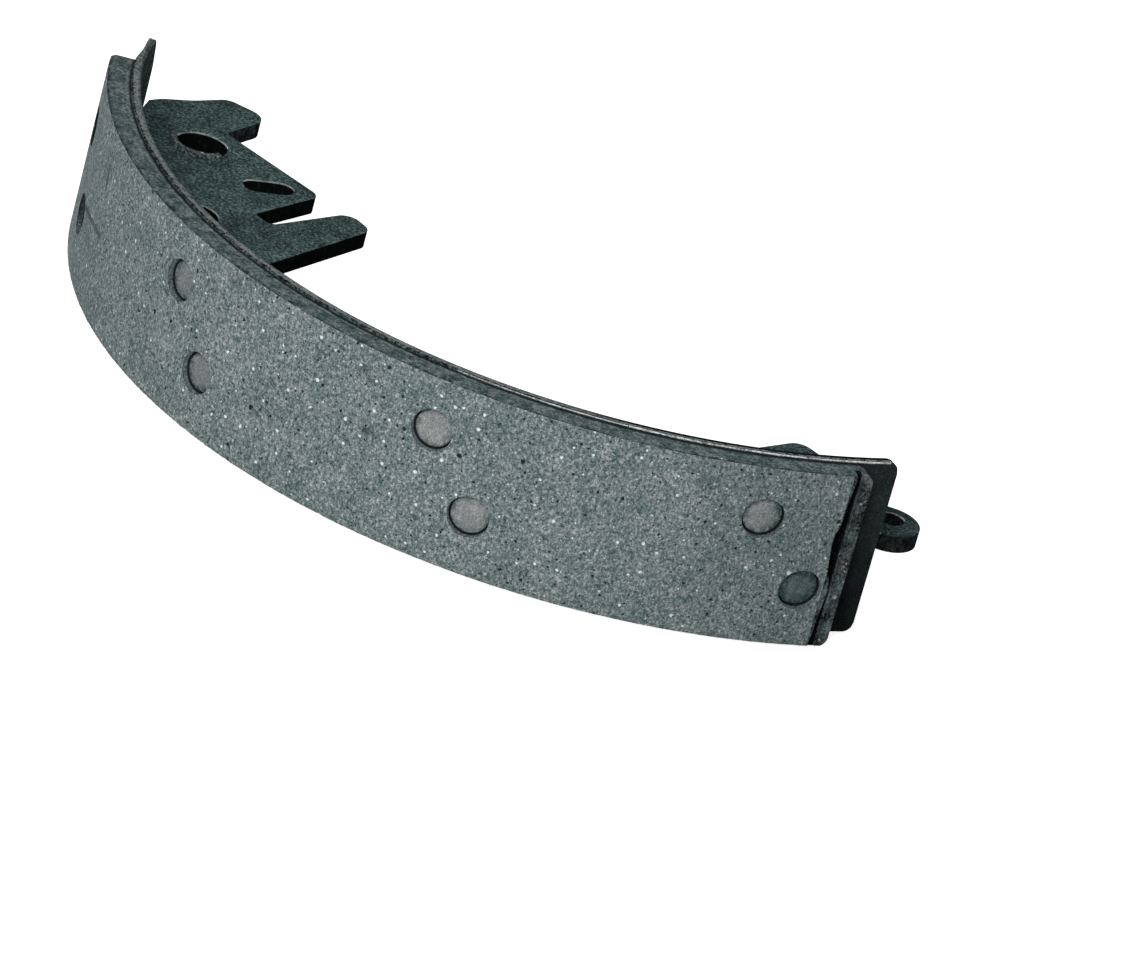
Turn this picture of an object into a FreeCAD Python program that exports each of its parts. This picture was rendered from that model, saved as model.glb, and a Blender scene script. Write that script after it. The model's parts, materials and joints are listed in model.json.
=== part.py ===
import FreeCAD, Part
import math
import os
from FreeCAD import Vector

# Drum brake shoe: a stamped web stands on the middle of a curved rim strip, and a moulded
# lining is held to the outside of the rim by recessed tubular rivets, clinched on the inside.
# Lengths are in millimetres and angles in degrees. The shoe is drawn round the drum's axis:
# angles run from the middle of the shoe, which faces -Y, and grow towards +X.

# Drum and layers
drum_diameter = 228.6
drum_gap = 0.3
lining_thickness = 5.0
lining_width = 37.6
rim_thickness = 2.0
rim_overhang = 0.6
web_thickness = 3.5
web_depth = 19.0

# Sweep of the rim and the lining
rim_half_angle = 62.7
lining_setback_hook_end = 6.4
lining_setback_eye_end = 3.8
rim_corner_radius_top = 2.5
rim_corner_radius_bottom = 5.0
lining_corner_radius = 2.0
lining_worn_edge_radius = 1.5

# Break across the lining near its eye end: its foot is straight, its near side is ragged, as
# points of (height, distance from the lining's end). What is left past it stands a little lower.
end_ledge_length = 2.5
end_ledge_drop = 0.5
break_depth = 2.4
break_outline = [
    (17.6, 3.6),
    (13.6, 4.0),
    (7.5, 4.4),
    (6.1, 5.0),
    (3.7, 5.0),
    (0.4, 4.7),
    (-2.8, 4.2),
    (-3.9, 3.5),
    (-6.5, 3.1),
    (-9.4, 3.4),
    (-13.9, 3.7),
    (-18.4, 4.1),
]

# Rivets, in two rows across the lining, a little above its middle
rivets_per_row = 4
rivet_row_spacing = 14.4
rivet_rows_rise = 0.7
rivet_row_stagger = 5.6
rivet_margin_hook_end = 5.9
rivet_margin_eye_end = 4.5
rivet_head_diameter = 8.0
rivet_head_thickness = 1.1
rivet_head_bevel = 0.4
rivet_recess = 1.2
rivet_shank_diameter = 4.0
rivet_tube_bore = 2.6
rivet_tube_depth = 4.2
rivet_collar_diameter = 6.4
rivet_collar_height = 1.3
counterbore_clearance = 0.2
rivet_hole_clearance = 0.1

# Weld lumps in the corners between the web and the rim
welds_per_side = 5
weld_margin = 2.7
weld_length = 4.4
weld_radius = 2.1
weld_sides = 8

# Holes of the web, placed round the drum by angle and inward from the rim
lever_hole_diameter = 10.8
lever_hole_angle_from_end = 3.0
lever_hole_inset = 14.6
hold_down_hole_diameter = 9.5
hold_down_hole_angle_from_end = 23.4
hold_down_hole_inset = 13.3
anchor_hole_diameter = 10.5
anchor_hole_angle_from_end = 6.8
anchor_hole_inset = 13.8
slot_length = 10.5
slot_width = 5.2
slot_tilt = 13.6
slot_along = 0.7
slot_inward = 29.8

# Loop eye past the rim's end, its hole a little off the middle, away from the shoe
eye_outer_diameter = 12.4
eye_along = 18.45
eye_inward = 7.7
eye_hole_diameter = 5.2
eye_hole_along = 19.3
eye_hole_inward = 8.6

# The web's two end plates. Each outline is drawn on the rim's inside at one angle from the
# rim's end: along the rim towards +X, then inward, then the corner's radius.
hook_plate_angle_from_end = 10.7
hook_plate = [
    (-23.9, -2.0, 0.0),
    (-30.4, 6.4, 3.0),
    (-32.9, 12.9, 15.0),
    (-37.3, 20.0, 3.0),
    (-32.0, 29.0, 3.9),
    (-20.6, 20.3, 1.8),
    (-0.4, 40.5, 2.6),
    (14.4, 27.5, 1.0),
    (17.9, 30.8, 1.8),
    (4.4, 46.7, 3.0),
    (10.3, 51.2, 3.0),
    (47.3, 22.2, 0.0),
    (49.0, -2.0, 0.0),
]
eye_plate_angle_from_end = 6.7
eye_plate = [
    (-40.0, -3.0, 0.0),
    (-39.5, 19.6, 0.0),
    (10.4, 37.8, 3.0),
    (19.7, 18.7, 2.5),
    (18.3, 15.2, 1.5),
    (22.3, 12.5, 0.0),
    (18.45, 7.7, 0.0),
    (13.9, 3.4, 0.8),
    (12.6, 2.4, 0.0),
    (12.6, -3.0, 0.0),
]
finger_root_radius = 6.0
eye_plate_root_radius = 20.0

# The web is one stamping, written as three solids that meet on plain radial cuts at these angles
hook_cut_angle = -22.0
eye_cut_angle = 24.0

# How closely an edge must match a length when it is looked for
edge_match = 0.001

# Sizes that follow from those above
lining_outer_radius = drum_diameter / 2 - drum_gap
rim_outer_radius = lining_outer_radius - lining_thickness
rim_inner_radius = rim_outer_radius - rim_thickness
rim_width = lining_width + 2 * rim_overhang
lining_start = -rim_half_angle + lining_setback_hook_end
lining_end = rim_half_angle - lining_setback_eye_end
head_seat_radius = lining_outer_radius - rivet_recess - rivet_head_thickness
hook_plate_angle = -rim_half_angle + hook_plate_angle_from_end
eye_plate_angle = rim_half_angle - eye_plate_angle_from_end
web_reach = rim_half_angle + 50


def on_arc(radius, angle):
    """A point at a radius from the drum's axis and an angle from the middle of the shoe."""
    turn = math.radians(angle)
    return Vector(radius * math.sin(turn), -radius * math.cos(turn), 0)


def turned(shape, angle):
    """The shape carried round the drum's axis from the middle of the shoe."""
    return shape.rotated(Vector(0, 0, 0), Vector(0, 0, 1), angle)


def slab(face, height):
    """A flat face made into a plate, half above and half below the shoe's middle plane."""
    return face.translated(Vector(0, 0, -height / 2)).extrude(Vector(0, 0, height))


def ring_sector(inner, outer, start, end, height):
    """Part of a ring round the drum's axis, with its ends cut on the radius."""
    middle = (start + end) / 2
    edges = [
        Part.Arc(on_arc(outer, start), on_arc(outer, middle), on_arc(outer, end)).toShape(),
        Part.makeLine(on_arc(outer, end), on_arc(inner, end)),
        Part.Arc(on_arc(inner, end), on_arc(inner, middle), on_arc(inner, start)).toShape(),
        Part.makeLine(on_arc(inner, start), on_arc(outer, start)),
    ]
    return slab(Part.Face(Part.Wire(edges)), height)


def rounded_face(corners):
    """A flat face from (point, radius) corners, each turned into an arc of its radius."""
    starts, ends, arcs = [], [], []
    for i, (corner, radius) in enumerate(corners):
        before = (corners[i - 1][0] - corner).normalize()
        after = (corners[(i + 1) % len(corners)][0] - corner).normalize()
        if radius == 0:
            starts.append(corner)
            ends.append(corner)
            arcs.append(None)
            continue
        half = before.getAngle(after) / 2
        tangent = radius / math.tan(half)
        bisector = (before + after).normalize()
        crown = corner + bisector * (radius / math.sin(half) - radius)
        starts.append(corner + before * tangent)
        ends.append(corner + after * tangent)
        arcs.append(Part.Arc(starts[-1], crown, ends[-1]).toShape())
    edges = []
    for i in range(len(corners)):
        if arcs[i]:
            edges.append(arcs[i])
        edges.append(Part.makeLine(ends[i], starts[(i + 1) % len(corners)]))
    return Part.Face(Part.Wire(edges))


def plate_corners(outline):
    """An end plate's outline as points, with the rim's inside at the middle of the shoe."""
    return [(Vector(along, inward - rim_inner_radius, 0), radius) for along, inward, radius in outline]


def end_plate(outline, angle):
    """One end plate of the web, its outer edge trimmed to lie on the rim."""
    plate = turned(slab(rounded_face(plate_corners(outline)), web_thickness), angle)
    disc = Part.makeCylinder(rim_inner_radius, web_thickness, Vector(0, 0, -web_thickness / 2))
    return plate.common(disc)


def through_hole(diameter, radius, angle):
    """A round cutter along the drum's axis, long enough to pass through the web."""
    centre = on_arc(radius, angle) + Vector(0, 0, -web_thickness)
    return Part.makeCylinder(diameter / 2, 2 * web_thickness, centre)


def plate_cutter(diameter, along, inward, angle):
    """A round cutter at a place on an end plate."""
    centre = Vector(along, inward - rim_inner_radius, -web_thickness)
    return turned(Part.makeCylinder(diameter / 2, 2 * web_thickness, centre), angle)


def slot_cutter():
    """The round-ended slot between the hook and the notch."""
    half = (slot_length - slot_width) / 2
    length = Vector(0, half, 0)
    side = Vector(slot_width / 2, 0, 0)
    tip = Vector(0, half + slot_width / 2, 0)
    edges = [
        Part.Arc(side + length, tip, length - side).toShape(),
        Part.makeLine(length - side, -length - side),
        Part.Arc(-length - side, -tip, side - length).toShape(),
        Part.makeLine(side - length, side + length),
    ]
    cutter = slab(Part.Face(Part.Wire(edges)), 2 * web_thickness)
    cutter = turned(cutter, slot_tilt)
    cutter.translate(Vector(slot_along, slot_inward - rim_inner_radius, 0))
    return turned(cutter, hook_plate_angle)


def root_edges(web, towards_eye):
    """The web's upright edges where an end plate leaves the inside of its narrow middle."""
    radius = rim_inner_radius - web_depth
    found = []
    for edge in web.Edges:
        top, bottom = edge.Vertexes[0].Point, edge.Vertexes[-1].Point
        upright = abs(abs(top.z - bottom.z) - web_thickness) < edge_match
        at_depth = abs(math.hypot(top.x, top.y) - radius) < edge_match
        if upright and at_depth and (top.x > 0) == towards_eye:
            found.append(edge)
    return found


def make_web():
    """The stamped web: narrow middle, hook plate with its notch and finger, eye plate and eye."""
    web = ring_sector(
        rim_inner_radius - web_depth, rim_inner_radius, hook_plate_angle, eye_plate_angle, web_thickness
    )
    eye = plate_cutter(eye_outer_diameter, eye_along, eye_inward, eye_plate_angle)
    keep = Part.makeCylinder(2 * rim_outer_radius, web_thickness, Vector(0, 0, -web_thickness / 2))
    web = web.fuse([
        end_plate(hook_plate, hook_plate_angle),
        end_plate(eye_plate, eye_plate_angle),
        eye.common(keep),
    ]).removeSplitter()
    web = web.makeFillet(finger_root_radius, root_edges(web, towards_eye=False))
    web = web.makeFillet(eye_plate_root_radius, root_edges(web, towards_eye=True))
    return web.cut([
        through_hole(
            lever_hole_diameter, rim_inner_radius - lever_hole_inset,
            -rim_half_angle + lever_hole_angle_from_end,
        ),
        through_hole(
            hold_down_hole_diameter, rim_inner_radius - hold_down_hole_inset,
            -rim_half_angle + hold_down_hole_angle_from_end,
        ),
        through_hole(
            anchor_hole_diameter, rim_inner_radius - anchor_hole_inset,
            rim_half_angle - anchor_hole_angle_from_end,
        ),
        plate_cutter(eye_hole_diameter, eye_hole_along, eye_hole_inward, eye_plate_angle),
        slot_cutter(),
    ])


def web_portion(web, start, end):
    """The part of the web between two angles, cut on the radius."""
    wedge = ring_sector(
        rim_inner_radius / 4, 2 * rim_outer_radius, start, end, 2 * web_thickness
    )
    return web.common(wedge)


def rivet_places():
    """The (angle, height) of each rivet; the lower row is staggered towards the eye end."""
    first = lining_start + rivet_margin_hook_end
    last = lining_end - rivet_margin_eye_end - rivet_row_stagger
    pitch = (last - first) / (rivets_per_row - 1)
    places = []
    for i in range(rivets_per_row):
        angle = first + i * pitch
        places.append((angle, rivet_rows_rise + rivet_row_spacing / 2))
        places.append((angle + rivet_row_stagger, rivet_rows_rise - rivet_row_spacing / 2))
    return places


def outward_cylinder(diameter, inner, outer, angle, height):
    """A cylinder that points out from the drum's axis, between two radii."""
    centre = Vector(0, -inner, height)
    return turned(Part.makeCylinder(diameter / 2, outer - inner, centre, Vector(0, -1, 0)), angle)


def corner_edge(shape, radius, angle, height):
    """The short edge through a curved strip at one of its corners, as a list of one."""
    corner = on_arc(radius, angle) + Vector(0, 0, height)
    return [min(shape.Edges, key=lambda edge: (edge.CenterOfMass - corner).Length)]


def make_rim():
    """The curved rim strip, with rounded end corners and a hole for each rivet."""
    rim = ring_sector(rim_inner_radius, rim_outer_radius, -rim_half_angle, rim_half_angle, rim_width)
    middle, edge = (rim_inner_radius + rim_outer_radius) / 2, rim_width / 2
    for angle in (-rim_half_angle, rim_half_angle):
        rim = rim.makeFillet(rim_corner_radius_top, corner_edge(rim, middle, angle, edge))
        rim = rim.makeFillet(rim_corner_radius_bottom, corner_edge(rim, middle, angle, -edge))
    hole = rivet_shank_diameter + 2 * rivet_hole_clearance
    cutters = [
        outward_cylinder(hole, rim_inner_radius - rim_thickness, rim_outer_radius + rim_thickness, *place)
        for place in rivet_places()
    ]
    return rim.cut(cutters)


def break_cutter():
    """The ragged break across the lining, cut down from its outer face near the eye end."""
    floor = -lining_outer_radius + break_depth
    ragged = [(lining_width, break_outline[0][1])] + break_outline + [(-lining_width, break_outline[-1][1])]
    straight = [(-lining_width, end_ledge_length), (lining_width, end_ledge_length)]
    points = [Vector(-back, floor, height) for height, back in ragged + straight]
    face = Part.Face(Part.makePolygon(points + points[:1]))
    return turned(face.extrude(Vector(0, -2 * break_depth, 0)), lining_end)


def make_lining():
    """The moulded lining, broken across near one end, with a counterbored hole for each rivet."""
    lining = ring_sector(rim_outer_radius, lining_outer_radius, lining_start, lining_end, lining_width)
    worn_edge = corner_edge(lining, lining_outer_radius, lining_start, 0)
    lining = lining.makeFillet(lining_worn_edge_radius, worn_edge)
    middle, edge = (rim_outer_radius + lining_outer_radius) / 2, lining_width / 2
    lining = lining.makeFillet(lining_corner_radius, corner_edge(lining, middle, lining_end, edge))
    lining = lining.makeFillet(lining_corner_radius, corner_edge(lining, middle, lining_end, -edge))
    ledge_angle = math.degrees(end_ledge_length / lining_outer_radius)
    ledge = ring_sector(
        lining_outer_radius - end_ledge_drop, lining_outer_radius + end_ledge_drop,
        lining_end - ledge_angle, lining_end + ledge_angle, 2 * lining_width,
    )
    hole = rivet_shank_diameter + 2 * rivet_hole_clearance
    counterbore = rivet_head_diameter + 2 * counterbore_clearance
    beyond = lining_outer_radius + lining_thickness
    cutters = [ledge, break_cutter()]
    for place in rivet_places():
        cutters.append(outward_cylinder(hole, rim_inner_radius, beyond, *place))
        cutters.append(outward_cylinder(counterbore, head_seat_radius, beyond, *place))
    return lining.cut(cutters)


def rivet_blank():
    """One clinched tubular rivet on the Z axis, its head up and its seat at the height of its radius."""
    head, shank = rivet_head_diameter / 2, rivet_shank_diameter / 2
    bore, collar = rivet_tube_bore / 2, rivet_collar_diameter / 2
    top = head_seat_radius + rivet_head_thickness
    bed = math.sqrt(rim_inner_radius ** 2 - collar ** 2)
    foot = bed - rivet_collar_height
    corners = [
        (0, top),
        (head - 2 * rivet_head_bevel, top),
        (head, top - rivet_head_bevel),
        (head, head_seat_radius),
        (shank, head_seat_radius),
        (shank, bed),
        (collar, bed),
        (collar, foot),
        (bore, foot),
        (bore, foot + rivet_tube_depth),
        (0, foot + rivet_tube_depth),
        (0, top),
    ]
    profile = Part.makePolygon([Vector(radius, 0, height) for radius, height in corners])
    return Part.Face(profile).revolve(Vector(0, 0, 0), Vector(0, 0, 1), 360)


def make_rivets():
    """Every rivet, its head in the lining and its collar against the curve of the rim's inside."""
    blank = rivet_blank().rotated(Vector(0, 0, 0), Vector(1, 0, 0), 90)
    return Part.makeCompound([
        turned(blank.translated(Vector(0, 0, height)), angle) for angle, height in rivet_places()
    ])


def weld_bead(side):
    """A short bead on the corner of the web and the rim, at the middle of the shoe, thick in its middle."""
    rings = []
    for along, size in ((-0.5, 0.45), (-0.25, 1.0), (0.25, 1.0), (0.5, 0.45)):
        points = []
        for i in range(weld_sides + 1):
            turn = math.radians(360 * i / weld_sides)
            inward, up = weld_radius * size * math.cos(turn), weld_radius * size * math.sin(turn)
            points.append(Vector(along * weld_length, inward - rim_inner_radius, side * web_thickness / 2 + up))
        rings.append(Part.makePolygon(points))
    return Part.makeLoft(rings, True, True)


def make_welds(web):
    """Weld lumps above and below the web, each filling the corner of the web and the rim."""
    first = -rim_half_angle + weld_margin
    pitch = -2 * first / (welds_per_side - 1)
    inside = Part.makeCylinder(rim_inner_radius, rim_width, Vector(0, 0, -rim_width / 2))
    lumps = []
    for i in range(welds_per_side):
        for side in (1, -1):
            lump = turned(weld_bead(side), first + i * pitch)
            lumps += lump.common(inside).cut(web).Solids
    return Part.makeCompound(lumps)


web = make_web()
nodes = {
    "web_hook_plate": web_portion(web, -web_reach, hook_cut_angle),
    "web_middle": web_portion(web, hook_cut_angle, eye_cut_angle),
    "web_eye_plate": web_portion(web, eye_cut_angle, web_reach),
    "rim": make_rim(),
    "lining": make_lining(),
    "lining_rivets": make_rivets(),
    "weld_lumps": make_welds(web),
}

# The origin is under the middle of the shoe's box, on the face that the shoe lies on.
box = Part.makeCompound(list(nodes.values())).optimalBoundingBox(False)
origin = Vector((box.XMin + box.XMax) / 2, (box.YMin + box.YMax) / 2, box.ZMin)

os.makedirs("parts", exist_ok=True)
for name, shape in nodes.items():
    shape.translated(-origin).exportStep(f"parts/{name}.step")
    print(name, len(shape.Solids), "solids", round(shape.Volume, 1), "mm3", shape.isValid())
print("origin", origin)
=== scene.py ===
"""Looks of a riveted drum brake shoe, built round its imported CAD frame.

The lining, rim, web, rivets and weld beads are made again in finer detail over the frame's
nodes, with procedural materials, and set in a plain studio. Lengths are in metres, in the
frame's own axes: +X from the hook end to the eye end, +Z up along the drum's axis.
"""
import json
import math

import bmesh
import bpy
import numpy as np
from bpy.props import FloatProperty, FloatVectorProperty, PointerProperty
from mathutils import Matrix, Vector


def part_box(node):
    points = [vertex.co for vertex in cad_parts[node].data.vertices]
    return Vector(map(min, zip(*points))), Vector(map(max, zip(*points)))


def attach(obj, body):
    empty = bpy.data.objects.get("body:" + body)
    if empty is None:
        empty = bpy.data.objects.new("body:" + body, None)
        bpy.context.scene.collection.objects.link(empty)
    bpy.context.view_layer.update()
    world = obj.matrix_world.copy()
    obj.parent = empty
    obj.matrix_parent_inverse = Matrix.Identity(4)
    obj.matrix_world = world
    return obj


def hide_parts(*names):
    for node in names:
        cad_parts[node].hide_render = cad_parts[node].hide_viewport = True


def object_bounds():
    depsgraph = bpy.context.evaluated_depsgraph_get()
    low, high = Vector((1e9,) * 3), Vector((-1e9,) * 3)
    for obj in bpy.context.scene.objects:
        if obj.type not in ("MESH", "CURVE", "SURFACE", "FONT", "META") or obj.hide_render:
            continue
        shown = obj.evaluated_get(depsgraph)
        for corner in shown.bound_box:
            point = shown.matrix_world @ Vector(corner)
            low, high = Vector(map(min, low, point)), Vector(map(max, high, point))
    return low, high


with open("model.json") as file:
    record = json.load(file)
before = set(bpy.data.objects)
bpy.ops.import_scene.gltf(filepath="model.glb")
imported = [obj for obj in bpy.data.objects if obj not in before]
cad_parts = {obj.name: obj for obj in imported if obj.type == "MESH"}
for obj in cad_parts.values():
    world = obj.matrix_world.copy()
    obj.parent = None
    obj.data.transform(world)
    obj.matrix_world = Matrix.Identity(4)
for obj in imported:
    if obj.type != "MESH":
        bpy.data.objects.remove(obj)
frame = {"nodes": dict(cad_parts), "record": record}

bl_info = {
    "name": "Brake shoe looks",
    "version": (1, 0, 0),
    "blender": (4, 5, 0),
    "location": "View3D > Sidebar > Brake shoe",
    "description": "Builds the lining, rim, web, rivets and welds of a brake shoe, and its studio",
    "category": "Object",
}

MM = 0.001
CAD_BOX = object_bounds()

# Radii of the layers round the drum's axis, and the axis itself, from the mount on the lining's face
LINING_RADIUS = 114.0 * MM
RIM_RADIUS = 109.0 * MM
RIM_INSIDE = 107.0 * MM
FACE_MM, RIM_MM, INSIDE_MM = LINING_RADIUS / MM, RIM_RADIUS / MM, RIM_INSIDE / MM
MOUNTS = {mount["name"]: Vector(mount["pos_m"]) for mount in frame["record"]["mounts"]}
AXIS = MOUNTS["drum_face"] + Vector((0, LINING_RADIUS, 0))
TO_AXIS = (-AXIS.x / MM, -AXIS.y / MM, 0.0)
WEB_NODES = ("web_hook_plate", "web_middle", "web_eye_plate")

# Marks read from the photograph on the lining's face: millimetres round the drum from the middle
# of the shoe, height over the floor, and size
PITS = (
    (-14.6, 29.2, 0.5), (-10.9, 18.0, 0.4), (-7.6, 13.8, 0.8), (4.9, 30.4, 0.4), (4.5, 14.9, 0.45),
    (19.9, 35.8, 0.6), (20.3, 29.7, 0.5), (37.8, 24.4, 0.8), (-10.8, 3.9, 0.6), (-30.0, 31.7, 0.5),
    (-34.3, 18.4, 0.6), (55.3, 3.7, 0.5),
)
FLECKS = (
    (-11.8, 34.6, 0.6), (-3.6, 29.4, 0.5), (8.0, 34.1, 0.5), (18.0, 32.1, 0.55), (30.9, 32.0, 0.6),
    (34.6, 33.7, 0.6), (37.5, 7.0, 0.6), (105.0, 16.3, 0.9), (100.9, 18.7, 0.5), (76.8, 11.7, 0.6),
)
BLOTCHES = ((15.2, 33.2, 1.6), (17.0, 31.8, 1.3), (18.4, 21.6, 1.8))
SCRATCHES = (((-74.3, 31.4), (-73.6, 25.8)), ((-86.2, 16.1), (-75.4, 17.4)), ((-75.4, 17.4), (-69.9, 17.6)))
CHIP = (-43.0, 38.2, 3.6)

# Photographed view: place, line of sight and upright of the camera, and its lens on a 36 mm sensor
CAMERA_PLACE = Vector((AXIS.x + 0.76716, AXIS.y - 1.26668, 0.6939))
CAMERA_SIGHT = Vector((-0.4668, 0.7680, -0.4384))
CAMERA_UP = Vector((-0.4456, 0.2239, 0.8668))
CAMERA_LENS = 253.8


# Measuring the frame


def polar(point):
    """Radius and angle of a point about the drum's axis; the angle is 0 at -Y and grows to +X."""
    x, y = point[0] - AXIS.x, point[1] - AXIS.y
    return math.hypot(x, y), math.atan2(x, -y)


def at(radius, angle, height):
    """The point at a radius and angle about the drum's axis, at a height over the floor."""
    return Vector((AXIS.x + radius * math.sin(angle), AXIS.y - radius * math.cos(angle), height))


def joined_copy(*nodes):
    """The mesh of one or more CAD nodes as a bmesh, with the loose triangles joined."""
    copy = bmesh.new()
    for node in nodes:
        copy.from_mesh(frame["nodes"][node].data)
    bmesh.ops.remove_doubles(copy, verts=copy.verts, dist=2e-6)
    return copy


def whole_web():
    """The web's CAD solids as one, without the walls where they meet."""
    copy = joined_copy(*WEB_NODES)
    cuts = sweep("web_middle")
    walls = [
        face for face in copy.faces
        if any(all(abs(polar(vertex.co)[1] - cut) < 2e-5 for vertex in face.verts) for cut in cuts)
    ]
    bmesh.ops.delete(copy, geom=walls, context="FACES")
    return copy


def sweep(node):
    """The lowest and highest angle that a CAD node covers."""
    angles = [polar(vertex.co)[1] for vertex in frame["nodes"][node].data.vertices]
    return min(angles), max(angles)


def solids(node):
    """The points of each separate solid of a CAD node."""
    copy = joined_copy(node)
    left = set(copy.verts)
    groups = []
    while left:
        group, front = [], [left.pop()]
        while front:
            vertex = front.pop()
            group.append(vertex.co.copy())
            for edge in vertex.link_edges:
                other = edge.other_vert(vertex)
                if other in left:
                    left.remove(other)
                    front.append(other)
        groups.append(group)
    copy.free()
    return groups


def middle(values):
    return (min(values) + max(values)) / 2


def solid_places(node, radius):
    """Where each solid of a CAD node stands: the point at a given radius on its own centre line."""
    places = []
    for points in solids(node):
        angle = middle([polar(point)[1] for point in points])
        places.append(at(radius, angle, middle([point.z for point in points])))
    return sorted(places, key=lambda place: (place.x, place.z))


# Objects and meshes


def new_object(name, data):
    piece = bpy.data.objects.new(name, data)
    bpy.context.scene.collection.objects.link(piece)
    return piece


def mesh_from(name, points, faces=(), edges=()):
    mesh = bpy.data.meshes.new(name)
    mesh.from_pydata([tuple(point) for point in points], list(edges), [tuple(face) for face in faces])
    mesh.update()
    return mesh


def closed_mesh(name, points, faces):
    """A closed mesh whose faces are all turned outwards."""
    mesh = mesh_from(name, points, faces)
    fixed = bmesh.new()
    fixed.from_mesh(mesh)
    bmesh.ops.recalc_face_normals(fixed, faces=fixed.faces)
    fixed.to_mesh(mesh)
    fixed.free()
    return mesh


def paint(piece, *materials):
    """Gives a piece only these materials."""
    piece.data.materials.clear()
    for material in materials:
        piece.data.materials.append(material)


def apply_modifiers(piece):
    """Turns a piece and its modifiers into a plain mesh."""
    bpy.context.view_layer.update()
    depsgraph = bpy.context.evaluated_depsgraph_get()
    plain = bpy.data.meshes.new_from_object(
        piece.evaluated_get(depsgraph), preserve_all_data_layers=True, depsgraph=depsgraph
    )
    piece.modifiers.clear()
    piece.data = plain
    return piece


def grow(piece, group, values):
    """Runs a geometry tree on a piece, with values for its named inputs, and keeps the plain mesh."""
    modifier = piece.modifiers.new(group.name, "NODES")
    modifier.node_group = group
    for item in group.interface.items_tree:
        if item.item_type == "SOCKET" and item.in_out == "INPUT" and item.name in values:
            modifier[item.identifier] = values[item.name]
    return apply_modifiers(piece)


def combine(piece, other, operation):
    """Cuts a piece by another object, or keeps what both hold, and removes the other."""
    modifier = piece.modifiers.new("combine", "BOOLEAN")
    modifier.object = other
    modifier.operation = operation
    modifier.solver = "EXACT"
    apply_modifiers(piece)
    bpy.data.objects.remove(other)
    return piece


def keep_inside(mesh):
    """Moves any point that stands out of the CAD box back onto it."""
    points = np.empty(len(mesh.vertices) * 3)
    mesh.vertices.foreach_get("co", points)
    low, high = (np.array(corner) for corner in CAD_BOX)
    mesh.vertices.foreach_set("co", np.clip(points.reshape(-1, 3), low, high).ravel())
    mesh.update()


def finish_piece(piece, nodes=(), smooth_angle=35):
    """Keeps a piece inside the CAD box, shades it smooth up to an angle, hangs it on the root body and hides
    the CAD nodes it stands for.
    """
    keep_inside(piece.data)
    piece.data.shade_smooth()
    piece.data.set_sharp_from_angle(angle=math.radians(smooth_angle))
    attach(piece, "root")
    if nodes:
        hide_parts(*nodes)


def curved_strip(name, angles, profile_at):
    """A closed strip swept round the drum's axis; profile_at gives each angle's (radius, height) loop."""
    loops = [profile_at(angle) for angle in angles]
    count = len(loops[0])
    points = [at(radius, angle, height) for angle, loop in zip(angles, loops) for radius, height in loop]
    faces = []
    for i in range(len(angles) - 1):
        a, b = i * count, (i + 1) * count
        for j in range(count):
            k = (j + 1) % count
            faces.append((a + j, b + j, b + k, a + k))
    faces.append(tuple(reversed(range((len(angles) - 1) * count, len(angles) * count))))
    faces.append(tuple(range(count)))
    return closed_mesh(name, points, faces)


def lathe(name, profile, segments):
    """A closed solid of revolution about Z from (radius, height) points that start and end on the axis."""
    points, rings = [], []
    for radius, height in profile:
        if radius == 0:
            rings.append([len(points)])
            points.append((0, 0, height))
            continue
        rings.append(list(range(len(points), len(points) + segments)))
        for i in range(segments):
            turn = 2 * math.pi * i / segments
            points.append((radius * math.cos(turn), radius * math.sin(turn), height))
    faces = []
    for low, high in zip(rings, rings[1:]):
        for i in range(segments):
            k = (i + 1) % segments
            corners = [low[i % len(low)], low[k % len(low)], high[k % len(high)], high[i % len(high)]]
            faces.append(list(dict.fromkeys(corners)))
    return closed_mesh(name, points, faces)


# Node trees


class Value:
    """A socket of a node tree; sums and products of it add Math nodes."""

    def __init__(self, tree, socket):
        self.tree, self.socket = tree, socket

    def math(self, operation, *others):
        return self.tree.math(operation, self, *others)

    def __add__(self, other):
        return self.math("ADD", other)

    def __sub__(self, other):
        return self.math("SUBTRACT", other)

    def __mul__(self, other):
        return self.math("MULTIPLY", other)

    def __truediv__(self, other):
        return self.math("DIVIDE", other)

    def __rsub__(self, other):
        return self.tree.math("SUBTRACT", other, self)

    def __rtruediv__(self, other):
        return self.tree.math("DIVIDE", other, self)

    __radd__, __rmul__ = __add__, __mul__

    def below(self, limit):
        return self.math("LESS_THAN", limit)

    def step(self, start, end):
        """0 up to start, 1 from end, smooth between; start may be the higher one."""
        low, high, results = (start, end, (0.0, 1.0)) if start < end else (end, start, (1.0, 0.0))
        node = self.tree.add(
            "ShaderNodeMapRange",
            {"interpolation_type": "SMOOTHSTEP"},
            {"Value": self, "From Min": low, "From Max": high, "To Min": results[0], "To Max": results[1]},
        )
        return node["Result"]


class Node:
    """A node whose outputs are read by name or number as values."""

    def __init__(self, tree, node):
        self.tree, self.node = tree, node

    def __getitem__(self, key):
        return Value(self.tree, self.node.outputs[key])


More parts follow.
